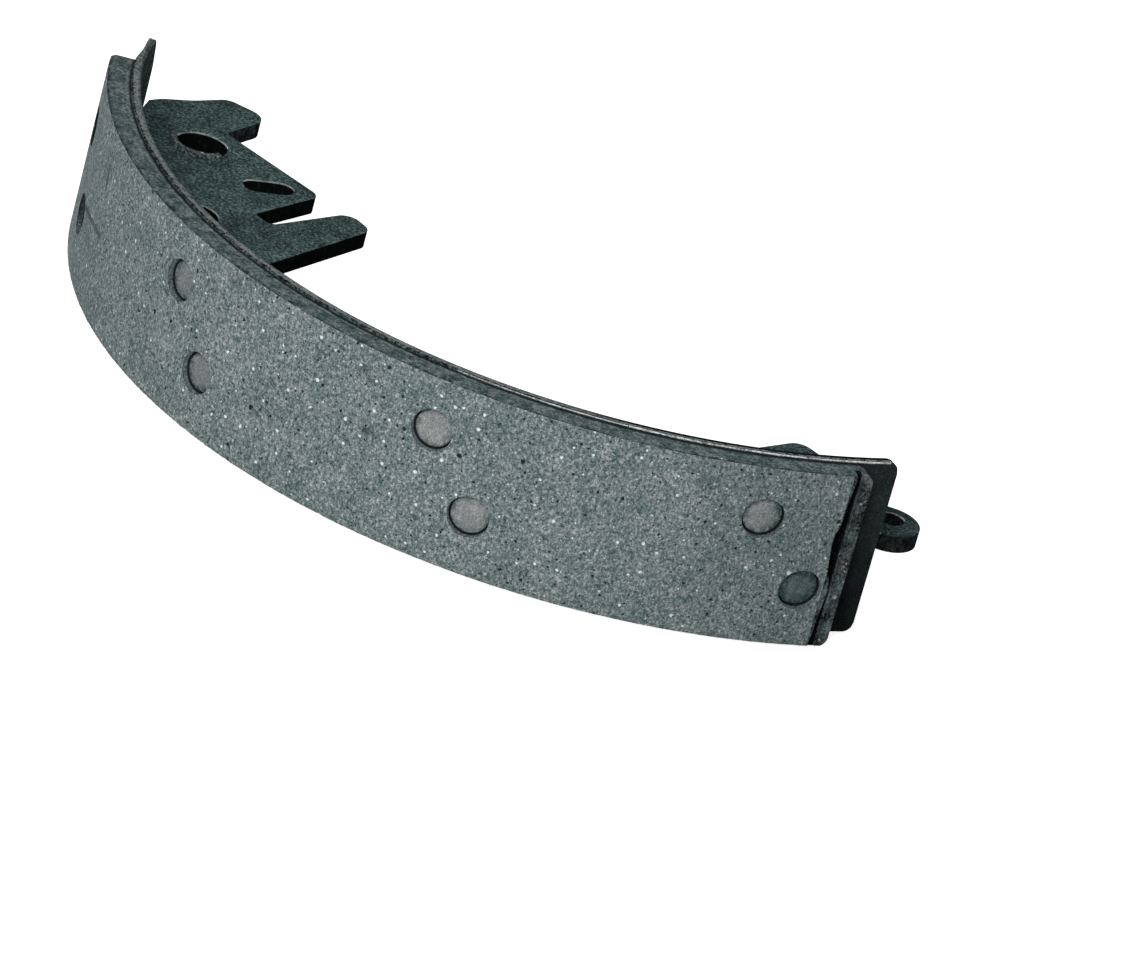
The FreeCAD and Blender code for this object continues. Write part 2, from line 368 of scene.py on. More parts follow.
class Tree:
    """A shader or geometry tree that is filled by add."""

    def __init__(self, nodes):
        self.nodes = nodes
        nodes.nodes.clear()

    def add(self, kind, settings=None, inputs=None):
        """A new node: its settings first, then a value or a link for each named or numbered socket."""
        node = self.nodes.nodes.new(kind)
        for key, value in (settings or {}).items():
            if key == "stops":
                self.set_stops(node.color_ramp, value)
            else:
                setattr(node, key, value)
        pairs = inputs.items() if isinstance(inputs, dict) else enumerate(inputs or [])
        for key, value in pairs:
            if isinstance(value, Value):
                self.nodes.links.new(value.socket, node.inputs[key])
            else:
                node.inputs[key].default_value = value
        return Node(self, node)

    @staticmethod
    def set_stops(ramp, stops):
        while len(ramp.elements) < len(stops):
            ramp.elements.new(0.5)
        for element, (position, colour) in zip(ramp.elements, stops):
            element.position = position
            element.color = (*colour, 1.0)

    def math(self, operation, *values, clamp=False):
        return self.add("ShaderNodeMath", {"operation": operation, "use_clamp": clamp}, list(values))[0]

    def most(self, first, *others):
        """The highest of some values."""
        for other in others:
            first = self.math("MAXIMUM", first, other)
        return first

    def vector(self, operation, *values):
        return self.add("ShaderNodeVectorMath", {"operation": operation}, list(values))[0]

    def length(self, operation, *values):
        """A length that Vector Math works out."""
        return self.add("ShaderNodeVectorMath", {"operation": operation}, list(values))["Value"]

    def shifted(self, geometry, direction, reach):
        """A mesh with its points moved in a direction, by a reach."""
        offset = self.add("ShaderNodeVectorMath", {"operation": "SCALE"}, {0: direction, 3: reach})[0]
        return self.add("GeometryNodeSetPosition", {}, {"Geometry": geometry, "Offset": offset})[0]

    def part(self, place, axis):
        """One of a vector's parts: 0 for X, 1 for Y, 2 for Z."""
        return self.add("ShaderNodeSeparateXYZ", {}, {0: place})[axis]

    def flat(self, across, up):
        return self.add("ShaderNodeCombineXYZ", {}, [across, up, 0.0])["Vector"]

    def in_mm(self, metres):
        return self.vector("MULTIPLY", metres, (1 / MM, 1 / MM, 1 / MM))

    def mix(self, factor, first, second):
        """Two colours mixed by a factor."""
        first, second = (value if isinstance(value, Value) else (*value, 1.0) for value in (first, second))
        settings = {"data_type": "RGBA", "clamp_factor": True}
        return self.add("ShaderNodeMix", settings, {0: factor, 6: first, 7: second})[2]

    def ramp(self, factor, stops):
        """The colour that belongs to a value, from stops of (position, colour)."""
        return self.add("ShaderNodeValToRGB", {"stops": stops}, {"Fac": factor})["Color"]

    def moved(self, place, offset):
        return self.vector("ADD", place, offset)

    def stretched(self, place, scale):
        return self.vector("MULTIPLY", place, scale)

    def noise(self, place, size, detail=2.0, roughness=0.5, output="Fac"):
        """Noise from 0 to 1 whose lumps are about size across, in the units of place."""
        inputs = {"Vector": place, "Scale": 1.0 / size, "Detail": detail, "Roughness": roughness}
        return self.add("ShaderNodeTexNoise", {}, inputs)[output]

    def push(self, place, size):
        """A random shift of up to about a half each way."""
        return self.vector("SUBTRACT", self.noise(place, size, output="Color"), (0.5, 0.5, 0.5))

    def warped(self, place, size, reach, offset=(0, 0, 0)):
        """The place pushed about by noise, to make round marks ragged."""
        push = self.push(self.moved(place, offset), size)
        return self.moved(place, self.stretched(push, (reach, reach, reach)))

    def specks(self, place, spacing, radius, share, offset=(0, 0, 0), dimensions="3D"):
        """1 inside round marks that lie in a share of the cells of a random pattern, 0 outside."""
        source = self.moved(place, offset)
        settings = {"voronoi_dimensions": dimensions}
        cell = self.add("ShaderNodeTexVoronoi", settings, {"Vector": source, "Scale": 1.0 / spacing})
        pick = self.add("ShaderNodeSeparateXYZ", {}, {0: cell["Color"]})
        reach = radius / spacing * (0.35 + 0.65 * pick[1])
        inside = self.math("SUBTRACT", 1.0, cell["Distance"] / reach, clamp=True)
        return inside * pick[0].below(share)


def place_in_mm(tree):
    """The point on the piece in millimetres, in the frame's axes."""
    return tree.in_mm(tree.add("ShaderNodeTexCoord")["Object"])


def drum_radius(tree, place):
    """A point's distance from the drum's axis, in millimetres."""
    return tree.length("LENGTH", tree.stretched(tree.moved(place, TO_AXIS), (1.0, 1.0, 0.0)))


def unrolled(tree, place):
    """The point as millimetres round the drum and up, so that a flat pattern lies on the curved face."""
    x, y, z = (tree.part(tree.moved(place, TO_AXIS), axis) for axis in range(3))
    return tree.flat(tree.math("ARCTAN2", x, 0.0 - y) * FACE_MM, z)


def marks(tree, flat, places, softness=1.0):
    """1 in the middle of each (round, height, size) mark on the unrolled face, 0 outside them all."""
    found = []
    for along, height, size in places:
        gap = tree.length("DISTANCE", flat, (along, height, 0.0))
        found.append(gap.step(size * (0.5 + 0.5 * softness), size * (0.5 - 0.5 * softness)))
    return tree.most(*found)


def scratch_marks(tree, flat):
    """1 along each scratch of the unrolled face."""
    found = []
    for (x0, z0), (x1, z1) in SCRATCHES:
        length = math.hypot(x1 - x0, z1 - z0)
        run, rise = (x1 - x0) / length, (z1 - z0) / length
        x, z = tree.part(flat, 0) - x0, tree.part(flat, 1) - z0
        along, aside = (x * run + z * rise) / length, (z * run - x * rise).math("ABSOLUTE")
        found.append(aside.step(0.9, 0.3) * along.step(-0.1, 0.1) * along.step(1.1, 0.8))
    return tree.most(*found)


def upright_share(tree):
    """How much the surface faces up or down, from 0 on a wall to 1 on a flat plate."""
    return tree.part(tree.add("ShaderNodeNewGeometry")["Normal"], 2).math("ABSOLUTE")


MADE = {}


def new_tree(name):
    """The empty tree of a new material, which is kept by name for later pieces."""
    MADE[name] = bpy.data.materials.new(name)
    MADE[name].use_nodes = True
    tree = Tree(MADE[name].node_tree)
    tree.material = MADE[name]
    return tree


def new_material(name):
    """A new material's tree, the point on the piece in millimetres, and the shoe's colours."""
    tree = new_tree(name)
    return tree, place_in_mm(tree), bpy.context.scene.shoe_colours


def close_material(tree, colour, roughness, height, depth_mm, sheen=0.12):
    """Ends a material's tree in one shader, with bumps of a depth in millimetres."""
    bump = tree.add("ShaderNodeBump", {}, {"Strength": 1.0, "Distance": depth_mm * MM, "Height": height})
    shader = tree.add("ShaderNodeBsdfPrincipled", {}, {
        "Base Color": colour, "Roughness": roughness, "Normal": bump["Normal"], "Specular IOR Level": sheen,
    })
    tree.add("ShaderNodeOutputMaterial", {}, {"Surface": shader["BSDF"]})
    return tree.material


def shaded(colour, share):
    return tuple(share * part for part in colour)


def tone(level, tint=(0.80, 1.03, 1.03)):
    """A grey of the shoe's cool tint, at a linear brightness."""
    return shaded(tint, level)


def pit_depth(tree, place):
    """0 on the lining's skin and 1 at the bottom of its pits; the shape and the colour both use it."""
    flat = unrolled(tree, place)
    ragged = tree.warped(flat, 0.7, 0.45)
    small = tree.specks(ragged, 2.9, 0.38, 0.6, dimensions="2D")
    large = tree.specks(ragged, 13.0, 0.7, 0.4, (31.0, 7.0, 3.0), dimensions="2D")
    seen = marks(tree, tree.warped(flat, 0.8, 0.6, (5.0, 1.0, 0.0)), PITS, 0.7)
    return tree.most(small, large, seen)


# Materials


def grain_stops(base, spread=1.0):
    """Colours of a granular surface from dark and cool grains to light and warm ones."""
    def shade(red, green):
        pairs = zip((red, green, green), base)
        return tuple(colour * (1 + (share - 1) * spread) for share, colour in pairs)

    return [
        (0.34, shade(0.25, 0.32)), (0.425, shade(0.60, 0.72)), (0.50, shade(1.0, 1.0)),
        (0.575, shade(1.55, 1.32)), (0.66, shade(2.7, 2.3)),
    ]


def lining_face_material():
    """Granular friction material: warm and cool grains, pale flecks, black pits, lines across the width."""
    tree, place, colours = new_material("lining_face")
    flat = unrolled(tree, place)
    grain = tree.noise(place, 0.36, 2.0, 0.8)
    lump = tree.noise(tree.moved(place, (9.0, 2.0, 5.0)), 0.75, 2.0, 0.6)
    across = tree.noise(tree.stretched(place, (1.0, 1.0, 0.5)), 0.5, 2.0, 0.7)
    blotch = tree.noise(tree.moved(place, (3.0, 40.0, 8.0)), 9.0, 3.0, 0.55)
    level = grain * 0.75 + lump * 0.45 + across * 0.45 + blotch * 0.15 - 0.4
    colour = tree.ramp(level, grain_stops(colours.lining))
    ragged = tree.warped(flat, 0.6, 0.45)
    flecks = tree.specks(ragged, 4.4, 0.5, 0.5, (5.0, 13.0, 0.0), dimensions="2D").step(0.1, 0.5)
    dots = tree.specks(ragged, 1.8, 0.28, 0.26, (17.0, 3.0, 0.0), dimensions="2D").step(0.1, 0.6) * 0.7
    seen = marks(tree, tree.warped(flat, 0.6, 0.7), FLECKS, 0.4)
    colour = tree.mix(tree.most(flecks, dots, seen) * 0.85, colour, colours.fleck)
    smudges = tree.specks(tree.warped(flat, 2.0, 3.0), 24.0, 3.2, 0.4, (2.0, 9.0, 0.0), dimensions="2D")
    blotches = marks(tree, tree.warped(flat, 1.0, 1.2), BLOTCHES)
    scratches = scratch_marks(tree, tree.warped(flat, 0.8, 0.5))
    # Painted shade: the face is darkened towards the eye end, where it curves away from the light.
    far_end = tree.part(place, 0).step(62.0, 97.0)
    dark = tree.most(smudges.step(0.1, 0.8) * 0.4, blotches * 0.75, scratches * 0.7, far_end * 0.22)
    colour = tree.mix(dark, colour, tone(0.03))
    # Painted shade: the pits are also darkened to near-black, on top of their sunk shape.
    pits = pit_depth(tree, place).step(0.05, 0.4)
    colour = tree.mix(pits * 0.92, colour, tone(0.004))
    return close_material(tree, colour, 0.9, grain * 0.6 + lump * 0.4 + across * 0.15 - pits * 0.5, 0.16)


def lining_side_material():
    """The lining's ground sides and ends: smoother and darker, with a black lip and fine drag lines."""
    tree, place, colours = new_material("lining_side")
    radius = drum_radius(tree, place)
    cloud = tree.noise(place, 2.2, 4.0, 0.65)
    grain = tree.noise(place, 0.6, 3.0, 0.8)
    ring = tree.add("ShaderNodeCombineXYZ", {}, [radius, tree.noise(place, 14.0), 0.0])["Vector"]
    drag = tree.noise(ring, 0.45, 2.0, 0.6)
    level = cloud * 0.7 + grain * 1.0 + drag * 0.15 - 0.425
    colour = tree.ramp(level, grain_stops(colours.lining_side, 1.05))
    wander = (tree.noise(place, 1.3, 3.0, 0.7) - 0.5) * 1.3
    patch = tree.noise(tree.moved(place, (3.0, 9.0, 1.0)), 3.0, 3.0, 0.7)
    chip = marks(tree, unrolled(tree, place), (CHIP,))
    lip = (radius + wander * 2.0 + chip * 0.9).step(FACE_MM - 0.75, FACE_MM - 0.4)
    colour = tree.mix(lip * (0.35 + 0.6 * patch.step(0.42, 0.58)), colour, tone(0.008))
    eye_side = tree.part(place, 0).step(30.0, 62.0)
    from_rim = radius - RIM_MM + wander * 0.6
    # Painted highlight: a broken pale line on the side just outside the rim, away from the eye end.
    bright = from_rim.step(0.5, 0.7) * from_rim.step(1.3, 0.9) * patch.step(0.4, 0.55) * (1.0 - eye_side)
    colour = tree.mix(bright * 0.3, colour, (0.30, 0.30, 0.28))
    seam = (from_rim - eye_side * 0.3).step(0.5, 0.3)
    colour = tree.mix(seam * 0.92, colour, tone(0.004))
    chips = tree.specks(tree.warped(place, 0.7, 0.6), 3.4, 0.5, 0.45, (1.0, 2.0, 3.0))
    colour = tree.mix(chips.step(0.1, 0.6) * 0.7, colour, colours.fleck)
    return close_material(tree, colour, 0.85, cloud * 0.4 + grain * 0.5 + drag * 0.4, 0.12)


def lining_bore_material():
    """Walls of the rivets' counterbores: as granular as the face, with painted shade that makes them darker
    than the face and darker still towards the head, and a painted shadow line at the lip.
    """
    tree, place, colours = new_material("lining_bore")
    grain = tree.noise(place, 0.45, 3.0, 0.7)
    radius = drum_radius(tree, place)
    # Painted shade: the wall's tones are 0.6 of the face's.
    base = shaded(colours.lining, 0.6)
    colour = tree.ramp(grain, grain_stops(base))
    # Painted shade, deepening towards the head.
    deep = radius.step(FACE_MM - 1.0, FACE_MM - 1.3)
    colour = tree.mix(deep * 0.9, colour, tone(0.006))
    # Painted shadow line just under the lip.
    lip = radius.step(FACE_MM - 0.22, FACE_MM - 0.08)
    colour = tree.mix(lip * 0.6, colour, tone(0.02))
    hook = tree.part(place, 0).step(-80.0, -84.0)
    colour = tree.mix(hook * 0.9, colour, tone(0.004))
    return close_material(tree, colour, 0.95, grain, 0.15, sheen=0.0)


def lining_break_material():
    """The break and what is left past it: its lower walls are painted near-black as the crack's shadow, and
    the ledge past it is mottled grey with pale crumbs along its edges.
    """
    tree, place, _ = new_material("lining_break")
    radius = drum_radius(tree, place)
    grain = tree.noise(place, 0.5, 3.0, 0.75)
    cloud = tree.noise(place, 3.0, 3.0, 0.6)
    ledge = radius.step(FACE_MM - 1.3, FACE_MM - 0.8)
    top = tree.ramp(grain * 0.7 + cloud * 0.5 - 0.1, [
        (0.38, tone(0.006)), (0.47, tone(0.045)), (0.57, tone(0.11)), (0.7, tone(0.22)),
    ])
    # Painted shadow: the walls below the ledge are near-black.
    wall = tree.ramp(grain, [(0.4, tone(0.003)), (0.6, tone(0.014)), (0.75, tone(0.04))])
    colour = tree.mix(ledge, wall, top)
    crumbs = tree.specks(tree.warped(place, 0.6, 0.6), 1.7, 0.6, 0.6, (6.0, 1.0, 4.0)).step(0.1, 0.5)
    colour = tree.mix(crumbs * ledge * 0.75, colour, tone(0.4, (0.95, 1.0, 1.0)))
    return close_material(tree, colour, 0.95, grain, 0.2, sheen=0.0)


def break_shade_material():
    """Near-black painted shade for the filler at the foot of the break."""
    tree, place, _ = new_material("break_painted_shade")
    grain = tree.noise(place, 0.5, 3.0, 0.75)
    colour = tree.ramp(grain, [(0.4, tone(0.002)), (0.6, tone(0.008)), (0.75, tone(0.03))])
    return close_material(tree, colour, 0.95, grain, 0.15, sheen=0.0)


def rim_material():
    """Near-black painted strip. Its sheared edge is mid grey at the hook end and black at the eye end."""
    tree, place, colours = new_material("rim_steel")
    radius = drum_radius(tree, place)
    x = tree.part(place, 0)
    grain = tree.noise(place, 0.4, 3.0, 0.75)
    cloud = tree.noise(place, 6.0, 3.0, 0.6)
    base = colours.rim
    hook_end = x.step(-70.0, -84.0)
    paint = tree.ramp(grain * 0.7 + cloud * 0.4 - 0.05, [
        (0.32, shaded(base, 0.35)), (0.5, base), (0.7, shaded(base, 2.4)),
    ])
    scuffed = tree.ramp(grain * 1.0 + cloud * 0.4 - 0.2, grain_stops(shaded(colours.rim_edge, 0.75)))
    paint = tree.mix(hook_end, paint, scuffed)
    specks = tree.specks(tree.warped(place, 0.6, 0.5), 4.5, 0.3, 0.3, (4.0, 8.0, 1.0))
    paint = tree.mix(specks.step(0.2, 0.7) * 0.4, paint, shaded(colours.fleck, 0.5))
    height = tree.part(place, 2)
    # Painted shade: away from the hook end the paint darkens towards the bottom.
    paint = tree.mix((1.0 - hook_end) * height.step(30.0, 8.0) * 0.6, paint, tone(0.002))
    eye_side = x.step(44.0, 62.0)
    bare = tree.ramp(grain * 1.2 + cloud * 0.4 - 0.3, grain_stops(colours.rim_edge))
    black = tree.ramp(grain, [(0.4, tone(0.002)), (0.62, tone(0.012)), (0.8, tone(0.05))])
    sheared = tree.mix(eye_side, bare, black)
    line = radius + (tree.noise(place, 1.5, 3.0, 0.7) - 0.5) * 0.9
    outer = RIM_MM
    torn = tree.noise(tree.moved(place, (7.0, 7.0, 7.0)), 0.9, 3.0, 0.8)
    burr = line.step(outer - 0.95, outer - 0.8) * line.step(outer - 0.2, outer - 0.35)
    burr = burr * torn.step(0.38, 0.5) * eye_side
    jag = radius + (tree.noise(place, 1.0, 3.0, 0.8) - 0.5) * 2.4
    joint = jag.step(outer - 0.4, outer - 0.25) * torn.step(0.6, 0.5) * 0.95
    shine = line.step(outer - 1.5, outer - 1.2) * line.step(outer - 0.25, outer - 0.45) * torn.step(0.4, 0.56)
    inner = line.step(outer - 1.6, outer - 1.8) * 0.3 * (1.0 - eye_side)
    rolled = line.step(outer - 1.35, outer - 1.5) * eye_side
    sheared = tree.mix(rolled * 0.8, sheared, tone(0.035))
    sheared = tree.mix(shine * (1.0 - eye_side) * 0.6, sheared, (0.33, 0.34, 0.32))
    sheared = tree.mix(tree.most(joint, inner), sheared, tone(0.006))
    beige = tree.specks(tree.warped(place, 0.6, 0.6), 2.2, 0.5, 0.5, (2.0, 5.0, 1.0)).step(0.1, 0.5)
    sheared = tree.mix(beige * (1.0 - eye_side) * 0.6, sheared, (0.36, 0.33, 0.31))
    sheared = tree.mix(burr * 0.3, sheared, colours.burr)
    edge = upright_share(tree).step(0.55, 0.8)
    proud = height.step(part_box("lining")[1].z / MM + 0.15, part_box("lining")[1].z / MM + 0.3)
    gaps = tree.mix(torn.step(0.44, 0.52), tone(0.005), bare)
    paint = tree.mix(proud * (1.0 - eye_side) * 0.9, paint, gaps)
    colour = tree.mix(edge, paint, sheared)
    return close_material(tree, colour, 0.8, grain * 0.5 + torn * edge * 0.6, 0.12, sheen=0.0)


def web_material():
    """Matte dark steel with fine mottling and pale specks; its sheared walls are painted nearly black as
    shade, a little lighter on the outer walls at the hook and the eye.
    """
    tree, place, colours = new_material("web_steel")
    grain = tree.noise(place, 0.6, 3.0, 0.85)
    cloud = tree.noise(place, 5.0, 3.0, 0.55)
    base = colours.web
    level = grain * 1.3 + cloud * 0.3 - 0.3
    plate = tree.ramp(level, [
        (0.36, shaded(base, 0.3)), (0.5, base), (0.6, shaded(base, 1.8)),
        (0.7, shaded(base, 3.0)),
    ])
    specks = tree.specks(tree.warped(place, 0.5, 0.5), 4.0, 0.3, 0.4, (14.0, 8.0, 1.0))
    plate = tree.mix(specks.step(0.2, 0.7) * 0.3, plate, shaded(colours.burr, 0.5))
    radius = drum_radius(tree, place)
    rim_shade = radius.step(INSIDE_MM - 1.6, INSIDE_MM) * radius.step(INSIDE_MM + 0.6, INSIDE_MM)
    plate = tree.mix(rim_shade * 0.45, plate, tone(0.006))
    streak = tree.noise(tree.stretched(place, (1.0, 1.0, 0.6)), 0.9, 3.0, 0.7)
    hook = tree.part(place, 1).step(28.0, 29.5) * tree.part(place, 0).step(0.0, -20.0)
    # Painted shade: the walls are near-black, and the outer walls at the hook and the eye somewhat lighter.
    wall = tree.ramp(streak, [(0.35, tone(0.003)), (0.58, tone(0.006)), (0.75, tone(0.02))])
    outer_wall = tree.ramp(streak, [(0.38, tone(0.005)), (0.55, tone(0.028)), (0.75, tone(0.08))])
    eye = tree.part(place, 0).step(86.0, 90.0)
    wall = tree.mix(tree.most(hook, eye * 0.6), wall, outer_wall)
    plate = tree.mix(eye * 0.45, plate, tone(0.006))
    flat = upright_share(tree).step(0.35, 0.75)
    colour = tree.mix(flat, wall, plate)
    return close_material(tree, colour, 0.8, grain * 0.6 + streak * (1 - flat) * 0.8, 0.12, sheen=0.0)


def burr_material():
    """Bare, bright metal of torn edges and weld spatter."""
    tree, place, colours = new_material("burr_metal")
    grain = tree.noise(place, 0.5, 3.0, 0.8)
    cloud = tree.noise(place, 4.0, 2.0)
    bright = colours.burr
    colour = tree.ramp(grain * 0.6 + cloud * 0.4, [
        (0.36, shaded(bright, 0.04)), (0.46, shaded(bright, 0.4)), (0.56, bright),
    ])
    return close_material(tree, colour, 0.6, grain, 0.05, sheen=0.5)


def rivet_material():
    """Dull rivet metal: smooth, finely speckled head with dirty patches; the heads are darker towards both
    ends and most at the eye end, partly dirt and partly painted shade that leaves only the middle heads lit,
    as if they alone caught the lamp's reflection.
    """
    tree, place, colours = new_material("rivet_metal")
    x = tree.part(place, 0)
    grain = tree.noise(place, 0.3, 2.0, 0.7)
    cloud = tree.noise(place, 2.6, 3.0, 0.55)
    base = colours.rivet
    colour = tree.ramp(grain * 1.0 + cloud * 0.4 - 0.2, grain_stops(base, 0.5))
    from_centre = tree.add("ShaderNodeAttribute", {"attribute_name": "from_centre"})["Fac"]
    patch = tree.noise(tree.moved(place, (4.0, 4.0, 4.0)), 0.9, 3.0, 0.75).step(0.4, 0.6)
    # Partly dirt and partly painted shade: heads away from the middle are darkened so only the middle ones
    # look lit, and dirty patches lie mostly on each head's outer half.
    dirt_and_painted_shade = x.step(45.0, 82.0) * 0.15 + x.step(84.0, 89.0) * 0.55 + x.step(10.0, -25.0) * 0.3
    dirt_and_painted_shade = dirt_and_painted_shade + from_centre.step(0.45, 1.0) * patch * 0.5 + patch * 0.14 + 0.05
    colour = tree.mix(dirt_and_painted_shade, colour, (0.020, 0.048, 0.048))
    # Painted shade: a dark ring round the edge of each head, where it meets its counterbore.
    colour = tree.mix(from_centre.step(0.93, 0.99) * 0.85, colour, tone(0.006))
    return close_material(tree, colour, 0.75, grain * 0.4 + cloud, 0.05, sheen=0.15)


def weld_material():
    """Rough, dark weld with bright spatter points."""
    tree, place, colours = new_material("weld_steel")
    grain = tree.noise(place, 0.6, 3.0, 0.8)
    bright = colours.burr
    colour = tree.ramp(grain, [(0.4, tone(0.01)), (0.5, tone(0.08)), (0.62, tone(0.24))])
    points = tree.specks(tree.warped(place, 0.5, 0.4), 1.5, 0.35, 0.4)
    colour = tree.mix(points.step(0.2, 0.6), colour, bright)
    return close_material(tree, colour, 0.75, grain, 0.15, sheen=0.1)


def seen_directly(tree):
    """1 for the camera and in reflections or glass, 0 for the light that falls on the shoe."""
    path = tree.add("ShaderNodeLightPath")
    return tree.most(*(path[ray] for ray in ("Is Camera Ray", "Is Glossy Ray", "Is Transmission Ray")))


def floor_material():
    """Pale paper that the camera sees as white, and that still takes the shoe's shadow."""
    tree = new_tree("studio_floor")
    paper = tree.add("ShaderNodeBsdfDiffuse", {}, {"Color": (*bpy.context.scene.shoe_colours.floor, 1.0)})
    lift = tree.add("ShaderNodeEmission", {}, {"Color": (1.0, 1.0, 1.0, 1.0), "Strength": 0.84})
    seen = tree.add("ShaderNodeAddShader", {}, [paper[0], lift[0]])
    shader = tree.add("ShaderNodeMixShader", {}, [seen_directly(tree), paper[0], seen[0]])
    tree.add("ShaderNodeOutputMaterial", {}, {"Surface": shader[0]})
    return tree.material


# Geometry trees


def new_group(name, inputs):
    """An empty geometry tree with a mesh in, a mesh out and named inputs of (kind, default)."""
    group = bpy.data.node_groups.new(name, "GeometryNodeTree")
    group.interface.new_socket("Geometry", in_out="INPUT", socket_type="NodeSocketGeometry")
    group.interface.new_socket("Geometry", in_out="OUTPUT", socket_type="NodeSocketGeometry")
    for label, (kind, default) in inputs.items():
        socket = group.interface.new_socket(label, in_out="INPUT", socket_type="NodeSocket" + kind)
        if default is not None:
            socket.default_value = default
    tree = Tree(group)
    return tree, tree.add("NodeGroupInput")


def close_group(tree, geometry, material):
    """Ends a geometry tree in plain meshes of one material, and returns its node group."""
    real = tree.add("GeometryNodeRealizeInstances", {}, {"Geometry": geometry})
    made = tree.add("GeometryNodeSetMaterial", {}, {"Geometry": real[0], "Material": material})
    tree.add("NodeGroupOutput", {}, [made[0]])
    return tree.nodes


def rough_skin_group():
    """Sinks a smooth surface by grain, pits and worn edges, all of them inwards."""
    tree, given = new_group("rough_skin", {
        "Grain": ("Float", 0.05 * MM),
        "Pits": ("Float", 0.3 * MM),
        "Wear": ("Float", 0.25 * MM),
        "Face radius": ("Float", FACE_MM),
        "Half width": ("Float", 18.8),
        "Middle height": ("Float", 19.4),
        "Material": ("Material", None),
    })
    place = tree.in_mm(tree.add("GeometryNodeInputPosition")[0])
    normal = tree.add("GeometryNodeInputNormal")[0]
    radius = drum_radius(tree, place)
    height = tree.part(place, 2)
    from_side = given["Half width"] - (height - given["Middle height"]).math("ABSOLUTE")
    from_face = given["Face radius"] - radius
    edge = tree.most(from_side, from_face)
    ragged = tree.noise(place, 1.6, 3.0, 0.6)
    chip = marks(tree, unrolled(tree, place), (CHIP,), 0.8)
    worn = edge.step(1.1, 0.0) * (0.35 + ragged + chip * ragged * 5.0)
    outside = from_face.step(0.5, 0.1)
    depth = tree.noise(place, 0.9, 2.0, 0.6) * given["Grain"] * (0.4 + 0.6 * outside)
    depth = depth + pit_depth(tree, place).step(0.0, 0.6) * given["Pits"] * outside
    depth = depth + worn * given["Wear"]
    return close_group(tree, tree.shifted(given["Geometry"], normal, 0.0 - depth), given["Material"])


def torn_bead_group():
    """A bead of torn metal along each line of a wire mesh, thick and thin at random and gone in places."""
    tree, given = new_group("torn_bead", {
        "Bead radius": ("Float", 0.16 * MM),
        "Least share": ("Float", 0.1),
        "Lump size": ("Float", 1.4),
        "Step": ("Float", 0.25 * MM),
        "Material": ("Material", None),
    })
    line = tree.add("GeometryNodeMeshToCurve", {}, {"Mesh": given["Geometry"]})
    inputs = {"Curve": line[0], "Length": given["Step"]}
    curve = tree.add("GeometryNodeResampleCurve", {"mode": "LENGTH"}, inputs)
    place = tree.in_mm(tree.add("GeometryNodeInputPosition")[0])
    lumps = tree.noise(place, given["Lump size"], 3.0, 0.7)
    share = tree.most(lumps.step(0.40, 0.66), given["Least share"])
    sized = tree.add("GeometryNodeSetCurveRadius", {}, {"Curve": curve[0], "Radius": share})
    ring = tree.add("GeometryNodeCurvePrimitiveCircle", {}, {"Resolution": 6, "Radius": given["Bead radius"]})
    inputs = {"Curve": sized[0], "Profile Curve": ring[0], "Fill Caps": True}
    return close_group(tree, tree.add("GeometryNodeCurveToMesh", {}, inputs)[0], given["Material"])


def round_the_drum_group():
    """Sets a copy of an object on each point, its Z axis pointing straight out from the drum's axis."""
    tree, given = new_group("round_the_drum", {
        "Drum axis": ("Vector", tuple(AXIS)),
        "Piece": ("Object", None),
        "Roughness": ("Float", 0.0),
        "Lump size": ("Float", 1.0),
        "Material": ("Material", None),
    })
    place = tree.add("GeometryNodeInputPosition")[0]
    outward = tree.stretched(tree.vector("SUBTRACT", place, given["Drum axis"]), (1.0, 1.0, 0.0))
    turn = tree.add("FunctionNodeAlignRotationToVector", {"axis": "Z"}, {"Vector": outward})[0]
    piece = tree.add("GeometryNodeObjectInfo", {}, {"Object": given["Piece"]})["Geometry"]
    points = tree.add("GeometryNodeMeshToPoints", {}, {"Mesh": given["Geometry"]})[0]
    inputs = {"Points": points, "Instance": piece, "Rotation": turn}
    copies = tree.add("GeometryNodeInstanceOnPoints", {}, inputs)
    real = tree.add("GeometryNodeRealizeInstances", {}, {"Geometry": copies[0]})
    push = tree.push(tree.in_mm(tree.add("GeometryNodeInputPosition")[0]), given["Lump size"])
    return close_group(tree, tree.shifted(real[0], push, given["Roughness"]), given["Material"])


# Pieces


def strip_angles(start, end, step, radius, fine=6.0 * MM, fine_step=0.3 * MM):
    """Angles along a strip, closer together within fine of each end."""
    length = (end - start) * radius
    ends = np.arange(0.0, fine, fine_step)
    core = np.linspace(fine, length - fine, max(2, int((length - 2 * fine) / step)))
    along = np.concatenate([ends, core, length - ends[::-1]])
    return list(start + along / radius)


def corner_drop(distance, radius):
    """How far a rounded corner has fallen back at a distance from the strip's end."""
    if distance >= radius:
        return 0.0
    return radius - math.sqrt(max(0.0, radius ** 2 - (radius - distance) ** 2))


def smooth_share(start, end, value):
    """0 at start and beyond, 1 at end and beyond, smooth between."""
    share = min(1.0, max(0.0, (value - start) / (end - start)))
    return share * share * (3 - 2 * share)


